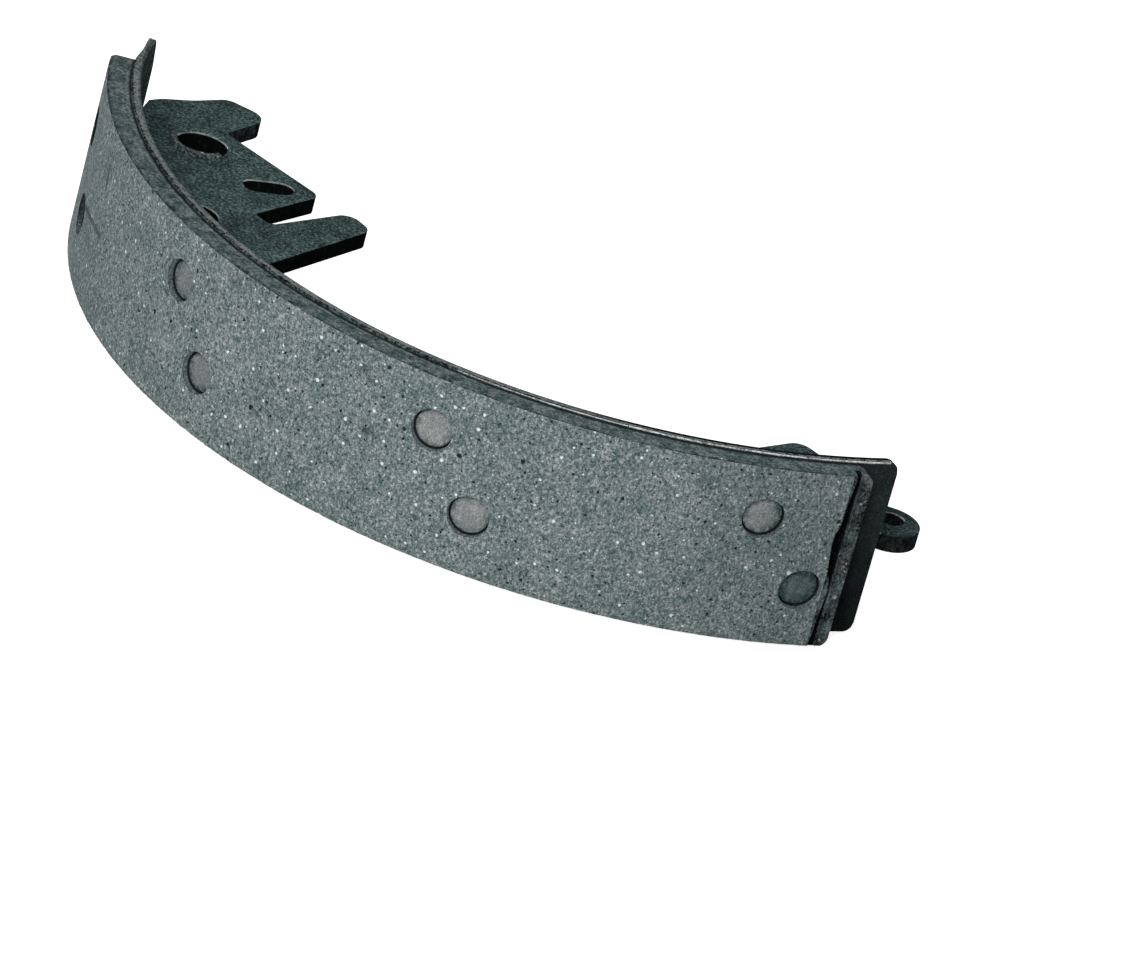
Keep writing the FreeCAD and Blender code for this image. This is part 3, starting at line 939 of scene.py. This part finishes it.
def build_lining():
    """A finely divided rough slab, kept where the CAD lining is, so every hole and break is the CAD's."""
    sizes = bpy.context.scene.shoe_sizes
    low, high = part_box("lining")
    start, end = sweep("lining")
    spare, near = 1.0 * MM, 0.02 * MM
    margin = spare / LINING_RADIUS
    outer, inner = LINING_RADIUS, RIM_RADIUS - 0.002 * MM
    heights = np.linspace(low.z, high.z, 1 + round((high.z - low.z) / sizes.lining_step))
    radii = np.linspace(outer, inner, 11)[1:-1]
    profile = [(outer, z) for z in heights] + [(r, high.z) for r in radii]
    profile += [(inner, high.z), (inner, (low.z + high.z) / 2), (inner, low.z)]
    profile += [(r, low.z) for r in radii[::-1]]
    count = round((end - start + 2 * margin) * outer / sizes.lining_step)
    angles = np.linspace(start - margin, end + margin, count)
    piece = new_object("lining_body", curved_strip("lining_body", angles, lambda angle: profile))
    grow(piece, rough_skin_group(), {
        "Grain": sizes.grain_depth, "Pits": sizes.pit_depth, "Wear": sizes.edge_wear,
        "Half width": (high.z - low.z) / 2 / MM, "Middle height": (low.z + high.z) / 2 / MM,
        "Material": lining_face_material(),
    })
    keep = joined_copy("lining")
    for vertex in keep.verts:
        radius, angle = polar(vertex.co)
        if radius > outer - near:
            vertex.co = at(outer + spare, angle, vertex.co.z)
        if abs(vertex.co.z - low.z) < 1e-6 or abs(vertex.co.z - high.z) < 1e-6:
            vertex.co.z += math.copysign(spare, vertex.co.z - (low.z + high.z) / 2)
        if radius < RIM_RADIUS + near:
            vertex.co = at(RIM_RADIUS, angle, vertex.co.z)
    mesh = bpy.data.meshes.new("lining_keep")
    keep.to_mesh(mesh)
    keep.free()
    combine(piece, new_object("lining_keep", mesh), "INTERSECT")
    colour_lining(piece, end)
    finish_piece(piece, ["lining"], smooth_angle=40)
    build_break_foot(low.z, end)


def build_break_foot(low, end):
    """A near-black filler that closes the break at its lower end, standing for the shade in the crack."""
    foot = [(RIM_RADIUS, 0.06), (LINING_RADIUS - 0.7 * MM, 0.06), (LINING_RADIUS - 1.3 * MM, 1.2)]
    foot += [(RIM_RADIUS + 1.0 * MM, 5.0), (RIM_RADIUS, 5.0)]
    profile = [(radius, low + height * MM) for radius, height in foot]
    angles = np.linspace(end - 8.0 * MM / LINING_RADIUS, end - 2.6 * MM / LINING_RADIUS, 20)
    piece = new_object("break_foot", curved_strip("break_foot", angles, lambda angle: profile))
    # Painted shade: the filler is near-black.
    paint(piece, break_shade_material())
    finish_piece(piece, smooth_angle=40)


def colour_lining(piece, end):
    """Gives the lining's face, sides, counterbores and break their own materials."""
    paint(piece, MADE["lining_face"], lining_side_material(), lining_bore_material(), lining_break_material())
    face, side, bore, torn = range(4)
    past_break, stub_end, counterbore = 4.6 * MM, 6.0 * MM, 4.6 * MM
    skin, side_skin, ledge = LINING_RADIUS - 0.85 * MM, 0.6 * MM, RIM_RADIUS + 0.2 * MM
    low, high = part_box("lining")
    rivets = [(polar(place)[1], place.z) for place in solid_places("lining_rivets", LINING_RADIUS)]
    for polygon in piece.data.polygons:
        centre = polygon.center
        radius, angle = polar(centre)
        outward = Vector((math.sin(angle), -math.cos(angle), 0)).dot(polygon.normal)
        from_end = (end - angle) * LINING_RADIUS
        polygon.material_index = side
        if abs(polygon.normal.z) > 0.7 and min(centre.z - low.z, high.z - centre.z) < side_skin:
            continue
        if from_end < past_break and radius > ledge and outward > 0.3:
            polygon.material_index = torn
        elif outward > 0.6 and radius > skin:
            polygon.material_index = face
        elif any(math.hypot((angle - a) * radius, centre.z - z) < counterbore for a, z in rivets):
            polygon.material_index = bore
        elif from_end < stub_end and radius > ledge:
            polygon.material_index = torn


def build_rim():
    """The rolled strip, with a torn ridge on its sheared edge, a sprung hook end and its rivet holes."""
    low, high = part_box("rim")
    start, end = sweep("rim")
    sizes = bpy.context.scene.shoe_sizes

    def profile_at(angle):
        from_hook, from_eye = (angle - start) * RIM_RADIUS, (end - angle) * RIM_RADIUS
        if from_hook < from_eye:
            top = high.z - corner_drop(from_hook, sizes.rim_corner_hook)
            bottom = low.z + corner_drop(from_hook, sizes.rim_corner_bottom)
        else:
            top = high.z - corner_drop(from_eye, sizes.rim_corner_top)
            raised = sizes.rim_foot_rise * smooth_share(14.0 * MM, 6.0 * MM, from_eye)
            bottom = low.z + raised + corner_drop(from_eye, sizes.rim_corner_eye)
        wave = 0.05 * MM * math.sin(angle * 61.0) * math.sin(angle * 23.0 + 1.0)
        lean = sizes.hook_end_lean * smooth_share(sizes.hook_end_length, 6.0 * MM, from_hook)
        spring = sizes.hook_end_spring * max(0.0, 1 - from_hook / (7.0 * MM)) ** 2
        loop = [(RIM_RADIUS, z) for z in np.linspace(bottom + 0.1 * MM, top - 0.06 * MM, 24)]
        loop += [
            (RIM_RADIUS - 0.06 * MM, top),
            (RIM_RADIUS - 0.45 * MM, top),
            (RIM_RADIUS - 0.75 * MM + wave, top - 0.02 * MM),
            (RIM_RADIUS - 0.95 * MM + wave, top - 0.1 * MM),
            (RIM_RADIUS - 1.3 * MM, top - 0.06 * MM),
            (RIM_INSIDE + 0.35 * MM, top - 0.04 * MM),
            (RIM_INSIDE + 0.1 * MM, top - 0.15 * MM),
        ]
        loop += [(RIM_INSIDE, z) for z in np.linspace(top - 0.4 * MM, bottom + 0.3 * MM, 24)]
        loop += [(RIM_INSIDE + 0.12 * MM, bottom + 0.1 * MM), (RIM_INSIDE + 0.4 * MM, bottom)]
        loop += [(RIM_RADIUS - 0.4 * MM, bottom), (RIM_RADIUS - 0.1 * MM, bottom + 0.03 * MM)]
        moved = []
        for radius, z in loop:
            near_top = max(0.0, 1 - (high.z - z) / (6.5 * MM))
            outward = (radius - RIM_INSIDE) / (RIM_RADIUS - RIM_INSIDE)
            moved.append((radius - lean * (0.35 + 0.65 * outward) * near_top - spring * (1 - near_top), z))
        return moved

    angles = strip_angles(start, end, 0.9 * MM, RIM_RADIUS)
    piece = new_object("rim_body", curved_strip("rim_body", angles, profile_at))
    cutter_points, cutter_faces = [], []
    hole = sizes.rivet_shank_radius + 0.1 * MM
    for place in solid_places("lining_rivets", RIM_RADIUS):
        plug = lathe("plug", [(0, -4 * MM), (hole, -4 * MM), (hole, 2 * MM), (0, 2 * MM)], 32)
        turn = outward_matrix(place)
        base = len(cutter_points)
        cutter_points += [turn @ vertex.co for vertex in plug.vertices]
        cutter_faces += [[base + i for i in polygon.vertices] for polygon in plug.polygons]
        bpy.data.meshes.remove(plug)
    combine(piece, new_object("rim_holes", mesh_from("rim_holes", cutter_points, cutter_faces)), "DIFFERENCE")
    paint(piece, rim_material())
    finish_piece(piece, ["rim"], smooth_angle=50)


def outward_matrix(place):
    """The matrix that sets a piece on a place with its Z axis straight out from the drum's axis."""
    angle = polar(place)[1]
    outward = Vector((math.sin(angle), -math.cos(angle), 0))
    up = Vector((0, 0, 1))
    across = up.cross(outward)
    turn = Matrix((across, up, outward)).transposed().to_4x4()
    return Matrix.Translation(place) @ turn


def build_web():
    """The stamped web with eased edges, over the CAD's own outline and holes."""
    copy = whole_web()
    bmesh.ops.dissolve_limit(copy, angle_limit=math.radians(1.0), verts=copy.verts, edges=copy.edges)
    sizes = bpy.context.scene.shoe_sizes
    eye = MOUNTS["eye_hole"]
    loop_reach = (6.5 * MM, 13.5 * MM)
    foot = min(vertex.co.z for vertex in copy.verts)
    weight = copy.edges.layers.float.new("bevel_weight_edge")
    for edge in copy.edges:
        if len(edge.link_faces) != 2 or edge.calc_face_angle() < math.radians(50):
            continue
        edge[weight] = sizes.web_edge / sizes.eye_foot_edge
        centre = (edge.verts[0].co + edge.verts[1].co) / 2
        walls = [face.normal for face in edge.link_faces if abs(face.normal.z) < 0.5]
        on_loop = loop_reach[0] < math.hypot(centre.x - eye.x, centre.y - eye.y) < loop_reach[1]
        if on_loop and max(vertex.co.z for vertex in edge.verts) < foot + 1e-5 and walls[0].x > 0.2:
            edge[weight] = 1.0
    mesh = bpy.data.meshes.new("web_body")
    copy.to_mesh(mesh)
    copy.free()
    piece = new_object("web_body", mesh)
    bevel = piece.modifiers.new("edges", "BEVEL")
    bevel.limit_method = "WEIGHT"
    bevel.width = sizes.eye_foot_edge
    bevel.segments = 3
    piece.modifiers.new("facing", "WEIGHTED_NORMAL")
    apply_modifiers(piece)
    paint(piece, web_material())
    finish_piece(piece, WEB_NODES, smooth_angle=40)


def top_outline(copy, inset, wanted):
    """The wanted edges round a plate's upper face as a wire mesh, sunk a little into the plate."""
    top = max(vertex.co.z for vertex in copy.verts)
    points, edges, numbers = [], [], {}
    for edge in copy.edges:
        if len(edge.link_faces) != 2 or min(vertex.co.z for vertex in edge.verts) < top - 1e-5:
            continue
        walls = [face.normal for face in edge.link_faces if abs(face.normal.z) < 0.5]
        if len(walls) != 1 or not wanted((edge.verts[0].co + edge.verts[1].co) / 2, walls[0]):
            continue
        for vertex in edge.verts:
            if vertex.index not in numbers:
                numbers[vertex.index] = len(points)
                walls = [face.normal for face in vertex.link_faces if abs(face.normal.z) < 0.5]
                out = sum(walls, Vector()).normalized()
                points.append(vertex.co - out * inset - Vector((0, 0, inset)))
        edges.append([numbers[vertex.index] for vertex in edge.verts])
    return mesh_from("outline", points, edges=edges)


def arc_points(centre, radius, start, end, height, count=60):
    """Points of a level arc round a centre, between two angles in degrees from +X."""
    turns = np.radians(np.linspace(start, end, count))
    return [Vector((centre.x + radius * math.cos(t), centre.y + radius * math.sin(t), height)) for t in turns]


def wire(name, points):
    return new_object(name, mesh_from(name, points, edges=[(i, i + 1) for i in range(len(points) - 1)]))


def ragged_tube(name, centre, inner, outer, top, depth, rag, count=96):
    """An upright tube under a hole, its lower edge torn to uneven depths."""
    points, faces = [], []
    for i in range(count):
        turn = 2 * math.pi * i / count
        waves = math.sin(5 * turn + 0.4) + math.sin(13 * turn) * 0.6 + math.sin(29 * turn + 2) * 0.4
        foot = top - depth + rag * waves / 2
        for radius, z in ((outer, top), (inner, top), (inner, foot), (outer, foot + rag)):
            points.append((centre.x + radius * math.cos(turn), centre.y + radius * math.sin(turn), z))
        a, b = 4 * i, 4 * ((i + 1) % count)
        faces += [(a + j, a + (j + 1) % 4, b + (j + 1) % 4, b + j) for j in range(4)]
    return new_object(name, closed_mesh(name, points, faces))


def build_bead(piece, material, radius, lump, least=0.0):
    """Grows a wire mesh into a torn bead; lump is the size of its lumps in millimetres."""
    group = bpy.data.node_groups.get("torn_bead") or torn_bead_group()
    values = {"Bead radius": radius, "Least share": least, "Lump size": lump, "Material": material}
    finish_piece(grow(piece, group, values), smooth_angle=60)


def build_burrs():
    """Torn beads along sheared edges of the web and the rim, and the lever hole's rough lip and collar."""
    metal = burr_material()
    burr = bpy.context.scene.shoe_sizes.burr_radius
    web_low, web_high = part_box("web_hook_plate")
    lever, lever_radius = MOUNTS["lever_hole"], 5.4 * MM
    bead_inset, bead_step = 0.12 * MM, 0.14
    hole_reach = {
        "spring_slot": 6.5 * MM, "hold_down_hole": 5.2 * MM, "lever_hole": 5.9 * MM, "eye_hole": 3.2 * MM,
    }
    loop_reach = 9.0 * MM

    def beside(point, name, reach):
        return math.hypot(point.x - MOUNTS[name].x, point.y - MOUNTS[name].y) < reach

    def towards_camera(normal):
        return -normal.dot(Vector((CAMERA_SIGHT.x, CAMERA_SIGHT.y, 0)).normalized())

    def far_lip(point, normal):
        return towards_camera(normal) > 0.25 and any(beside(point, *hole) for hole in hole_reach.items())

    def eye_front(point, normal):
        on_hole = beside(point, "eye_hole", hole_reach["eye_hole"])
        on_loop = beside(point, "eye_hole", loop_reach) and not on_hole
        return on_loop and towards_camera(normal) > 0.2 and normal.x < 0.4

    copy = whole_web()
    for name, wanted, size, least, lump in (
        ("hole_burr", far_lip, 1.0, 0.0, 1.8), ("eye_burr", eye_front, 1.5, 0.15, 2.0),
    ):
        piece = new_object(name, top_outline(copy, bead_inset, wanted))
        build_bead(piece, metal, burr * size, lump, least)
    copy.free()
    lip = wire("lever_lip", arc_points(lever, lever_radius + 0.35 * MM, 215, 350, web_high.z))
    build_bead(lip, MADE["weld_steel"], 1.0 * MM, 1.5)
    wall, overlap, depth, rag = 0.4 * MM, 0.05 * MM, 3.3 * MM, 0.25 * MM
    top = web_low.z + overlap
    collar = ragged_tube("lever_collar", lever, lever_radius, lever_radius + wall, top, depth, rag)
    # The collar takes the web's painted wall shade, so the lever hole looks dark inside.
    paint(collar, MADE["web_steel"])
    finish_piece(collar, smooth_angle=40)
    radius, height = RIM_RADIUS - 0.1 * MM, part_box("rim")[1].z - 0.22 * MM
    last = math.degrees(sweep("rim")[1]) - 1.0
    for name, start, end, size in (("rim_burr", 16.0, 34.0, 1.2), ("rim_burr_eye", 34.0, last, 1.6)):
        turns = np.radians(np.arange(start, end, bead_step))
        rim = wire(name, [at(radius, turn, height) for turn in turns])
        build_bead(rim, metal, burr * size, 1.1)


def build_rivets():
    """Eight tubular rivets, each with a low domed head and a rolled, clinched foot."""
    sizes = bpy.context.scene.shoe_sizes
    head, shank = sizes.rivet_head_radius, sizes.rivet_shank_radius
    top = LINING_RADIUS - sizes.rivet_recess - RIM_INSIDE
    dome = 0.4 * MM
    seat = top - 1.1 * MM
    bore, collar = 1.3 * MM, 3.2 * MM
    profile = [(0, top)]
    profile += [(head * s, top - dome * s ** 3 * 0.6) for s in (0.15, 0.3, 0.45, 0.6, 0.72, 0.82, 0.9)]
    profile += [(head * 0.96, top - dome * 0.7), (head, top - dome * 1.3), (head, seat + 0.1 * MM)]
    profile += [(head - 0.1 * MM, seat), (shank, seat), (shank, -0.06 * MM)]
    middle_roll, roll = collar - 0.65 * MM, 0.62 * MM
    for i in range(9):
        turn = math.radians(90 - 22.5 * i)
        profile.append((middle_roll + roll * math.cos(turn), -0.06 * MM - roll + roll * math.sin(turn)))
    profile += [(bore + 0.35 * MM, -1.15 * MM), (bore + 0.08 * MM, -0.8 * MM), (bore, -0.4 * MM)]
    profile += [(bore, 2.8 * MM), (0, 3.2 * MM)]
    model = lathe("rivet_model", profile, 56)
    share = model.attributes.new("from_centre", "FLOAT", "POINT")
    for vertex, item in zip(model.vertices, share.data):
        item.value = math.hypot(vertex.co.x, vertex.co.y) / head if vertex.co.z > 0 else 0.0
    source = new_object("rivet_model", model)
    points = new_object("rivets", mesh_from("rivets", solid_places("lining_rivets", RIM_INSIDE)))
    grow(points, round_the_drum_group(), {"Piece": source, "Roughness": 0.08 * MM, "Lump size": 1.6,
                                          "Material": rivet_material()})
    bpy.data.objects.remove(source)
    finish_piece(points, ["lining_rivets"], smooth_angle=50)


def build_welds():
    """Lumpy weld beads in the corners of the web and the rim."""
    blob = bmesh.new()
    bmesh.ops.create_icosphere(blob, subdivisions=4, radius=1.0)
    for vertex in blob.verts:
        vertex.co = Vector((vertex.co.x * 2.3, vertex.co.y * 1.15, vertex.co.z * 1.3)) * MM
    model = bpy.data.meshes.new("weld_model")
    blob.to_mesh(model)
    blob.free()
    source = new_object("weld_model", model)
    places = solid_places("weld_lumps", RIM_INSIDE - 0.55 * MM)
    points = new_object("welds", mesh_from("welds", places))
    grow(points, bpy.data.node_groups["round_the_drum"], {
        "Piece": source, "Roughness": 1.1 * MM, "Lump size": 1.3, "Material": weld_material(),
    })
    bpy.data.objects.remove(source)
    finish_piece(points, ["weld_lumps"], smooth_angle=60)


def build_stage():
    """Pale floor, soft lamps, white surroundings and the photographed camera."""
    scene = bpy.context.scene
    studio = scene.shoe_studio
    half, white = 4.0, (1.0, 1.0, 1.0, 1.0)
    corners = [(-half, -half, 0), (half, -half, 0), (half, half, 0), (-half, half, 0)]
    floor = new_object("floor", mesh_from("floor", corners, [(0, 1, 2, 3)]))
    paint(floor, floor_material())
    world = bpy.data.worlds.new("studio")
    world.use_nodes = True
    scene.world = world
    tree = Tree(world.node_tree)
    strength = studio.ambient + (1.0 - studio.ambient) * seen_directly(tree)
    sky = tree.add("ShaderNodeBackground", {}, {"Color": white, "Strength": strength})
    tree.add("ShaderNodeOutputWorld", {}, {"Surface": sky[0]})
    target = Vector((0.0, -0.01, 0.02))
    lamps = {
        "key": (Vector((0.45, -1.45, 1.05)), 0.8, studio.key_power),
        "side": (Vector((-1.1, -1.15, 0.75)), 1.0, studio.fill_power),
        "top": (Vector((0.1, 0.5, 1.6)), 1.2, studio.top_power),
    }
    for name, (place, size, power) in lamps.items():
        lamp = bpy.data.lights.new(name, "AREA")
        lamp.shape = "DISK"
        lamp.size = size
        lamp.energy = power
        holder = new_object(name, lamp)
        holder.location = place
        holder.rotation_euler = (target - place).to_track_quat("-Z", "Y").to_euler()
    lens = bpy.data.cameras.new("camera")
    lens.lens = CAMERA_LENS
    lens.sensor_width = 36.0
    lens.clip_end = 20.0
    camera = new_object("camera", lens)
    sight = CAMERA_SIGHT.normalized()
    right = sight.cross(CAMERA_UP).normalized()
    up = right.cross(sight)
    camera.matrix_world = Matrix.Translation(CAMERA_PLACE) @ Matrix((right, up, -sight)).transposed().to_4x4()
    scene.camera = camera
    scene.view_settings.view_transform = "Standard"


# Add-on


LENGTH = {"unit": "LENGTH", "precision": 5}


class ShoeSizes(bpy.types.PropertyGroup):
    """Sizes of the shoe's finer shapes."""

    lining_step: FloatProperty(
        name="Lining step", description="Spacing of the lining's surface points",
        default=0.45 * MM, **LENGTH)
    grain_depth: FloatProperty(
        name="Grain depth", description="Depth of the lining's grain", default=0.06 * MM, **LENGTH)
    pit_depth: FloatProperty(
        name="Pit depth", description="Depth of the lining's pits", default=0.3 * MM, **LENGTH)
    hook_end_lean: FloatProperty(
        name="Hook end lean", description="How far the rim's upper edge leans inwards at the hook end",
        default=0.85 * MM, **LENGTH)
    hook_end_spring: FloatProperty(
        name="Hook end spring", description="How far the rim's tip is bent inwards below that edge",
        default=0.75 * MM, **LENGTH)
    hook_end_length: FloatProperty(
        name="Hook end length", description="Length of the rim's leaning end", default=14.0 * MM, **LENGTH)
    rim_corner_hook: FloatProperty(
        name="Hook end corner", description="Radius of the rim's upper corner at the hook end",
        default=1.5 * MM, **LENGTH)
    rim_corner_eye: FloatProperty(
        name="Eye end corner", description="Radius of the rim's lower corner at the eye end",
        default=2.0 * MM, **LENGTH)
    rim_foot_rise: FloatProperty(
        name="Rim foot rise", description="How far the rim's lower edge rises towards the eye end",
        default=1.3 * MM, **LENGTH)
    eye_foot_edge: FloatProperty(
        name="Eye foot edge", description="Width of the eased lower edge of the eye",
        default=0.8 * MM, **LENGTH)
    edge_wear: FloatProperty(
        name="Edge wear", description="How far the lining's long edges are worn back",
        default=0.25 * MM, **LENGTH)
    rim_corner_top: FloatProperty(
        name="Upper rim corner", description="Radius of the rim's upper end corners",
        default=2.5 * MM, **LENGTH)
    rim_corner_bottom: FloatProperty(
        name="Lower rim corner", description="Radius of the rim's lower end corners",
        default=5.0 * MM, **LENGTH)
    web_edge: FloatProperty(
        name="Web edge", description="Radius of the web's eased edges", default=0.3 * MM, **LENGTH)
    burr_radius: FloatProperty(
        name="Burr radius", description="Radius of the torn beads on sheared edges",
        default=0.15 * MM, **LENGTH)
    rivet_head_radius: FloatProperty(
        name="Rivet head", description="Radius of a rivet's head", default=4.0 * MM, **LENGTH)
    rivet_shank_radius: FloatProperty(
        name="Rivet shank", description="Radius of a rivet's shank", default=2.0 * MM, **LENGTH)
    rivet_recess: FloatProperty(
        name="Rivet recess", description="Depth of a rivet's head below the lining's face",
        default=1.2 * MM, **LENGTH)


class ShoeColours(bpy.types.PropertyGroup):
    """Main colours of the shoe and its floor."""

    lining: FloatVectorProperty(
        name="Lining face", description="Middle tone of the lining's worn face",
        default=(0.150, 0.192, 0.192), subtype="COLOR")
    lining_side: FloatVectorProperty(
        name="Lining side", description="Middle tone of the lining's sides",
        default=(0.074, 0.106, 0.106), subtype="COLOR")
    fleck: FloatVectorProperty(
        name="Fleck", description="Pale flecks in the lining", default=(0.80, 0.90, 0.91), subtype="COLOR")
    rim: FloatVectorProperty(
        name="Rim", description="Paint of the rim", default=(0.020, 0.028, 0.028), subtype="COLOR")
    rim_edge: FloatVectorProperty(
        name="Rim edge", description="Sheared edge of the rim",
        default=(0.085, 0.115, 0.115), subtype="COLOR")
    web: FloatVectorProperty(
        name="Web", description="Steel of the web", default=(0.057, 0.088, 0.088), subtype="COLOR")
    rivet: FloatVectorProperty(
        name="Rivet", description="Rivet heads", default=(0.262, 0.288, 0.282), subtype="COLOR")
    burr: FloatVectorProperty(
        name="Burr", description="Bare torn metal", default=(0.72, 0.78, 0.78), subtype="COLOR")
    floor: FloatVectorProperty(
        name="Floor", description="Paper under the shoe", default=(0.8, 0.8, 0.8), subtype="COLOR")


class ShoeStudio(bpy.types.PropertyGroup):
    """Strength of the studio's lights."""

    key_power: FloatProperty(name="Key", description="Power of the lamp in front", default=24.0)
    fill_power: FloatProperty(name="Side", description="Power of the wide lamp at the left", default=3.5)
    top_power: FloatProperty(name="Top", description="Power of the lamp above", default=5.0)
    ambient: FloatProperty(name="Ambient", description="Light from all round", default=0.16)


class BuildOperator:
    """What the operators share."""

    bl_options = {"REGISTER", "UNDO"}

    @classmethod
    def poll(cls, context):
        return context.scene is not None


class SHOE_OT_lining(BuildOperator, bpy.types.Operator):
    """Build the lining with its grain, pits, counterbores and break"""

    bl_idname = "shoe.lining"
    bl_label = "Lining"

    def execute(self, context):
        build_lining()
        return {"FINISHED"}


class SHOE_OT_rim(BuildOperator, bpy.types.Operator):
    """Build the rolled rim strip"""

    bl_idname = "shoe.rim"
    bl_label = "Rim"

    def execute(self, context):
        build_rim()
        return {"FINISHED"}


class SHOE_OT_web(BuildOperator, bpy.types.Operator):
    """Build the stamped web"""

    bl_idname = "shoe.web"
    bl_label = "Web"

    def execute(self, context):
        build_web()
        return {"FINISHED"}


class SHOE_OT_burrs(BuildOperator, bpy.types.Operator):
    """Build the torn beads on the sheared edges"""

    bl_idname = "shoe.burrs"
    bl_label = "Burrs"

    def execute(self, context):
        build_burrs()
        return {"FINISHED"}


class SHOE_OT_rivets(BuildOperator, bpy.types.Operator):
    """Build the lining's rivets"""

    bl_idname = "shoe.rivets"
    bl_label = "Rivets"

    def execute(self, context):
        build_rivets()
        return {"FINISHED"}


class SHOE_OT_welds(BuildOperator, bpy.types.Operator):
    """Build the weld beads between the web and the rim"""

    bl_idname = "shoe.welds"
    bl_label = "Welds"

    def execute(self, context):
        build_welds()
        return {"FINISHED"}


class SHOE_OT_stage(BuildOperator, bpy.types.Operator):
    """Set the floor, the lamps and the camera"""

    bl_idname = "shoe.stage"
    bl_label = "Stage"

    def execute(self, context):
        build_stage()
        return {"FINISHED"}


OPERATORS = (
    SHOE_OT_stage, SHOE_OT_lining, SHOE_OT_rim, SHOE_OT_web, SHOE_OT_rivets, SHOE_OT_welds, SHOE_OT_burrs,
)


class SHOE_PT_panel(bpy.types.Panel):
    """Sizes, colours and buttons of the brake shoe"""

    bl_label = "Brake shoe"
    bl_idname = "SHOE_PT_panel"
    bl_space_type = "VIEW_3D"
    bl_region_type = "UI"
    bl_category = "Brake shoe"

    def draw(self, context):
        scene = context.scene
        for settings in (scene.shoe_sizes, scene.shoe_colours, scene.shoe_studio):
            box = self.layout.box()
            for name in settings.bl_rna.properties.keys():
                if name not in ("rna_type", "name"):
                    box.prop(settings, name)
        for operator in OPERATORS:
            self.layout.operator(operator.bl_idname)


CLASSES = (ShoeSizes, ShoeColours, ShoeStudio, *OPERATORS, SHOE_PT_panel)


def register():
    for item in CLASSES:
        bpy.utils.register_class(item)
    bpy.types.Scene.shoe_sizes = PointerProperty(type=ShoeSizes)
    bpy.types.Scene.shoe_colours = PointerProperty(type=ShoeColours)
    bpy.types.Scene.shoe_studio = PointerProperty(type=ShoeStudio)


def unregister():
    del bpy.types.Scene.shoe_studio
    del bpy.types.Scene.shoe_colours
    del bpy.types.Scene.shoe_sizes
    for item in reversed(CLASSES):
        bpy.utils.unregister_class(item)


def main():
    register()
    for operator in OPERATORS:
        family, action = operator.bl_idname.split(".")
        getattr(getattr(bpy.ops, family), action)()


if __name__ == "__main__":
    main()
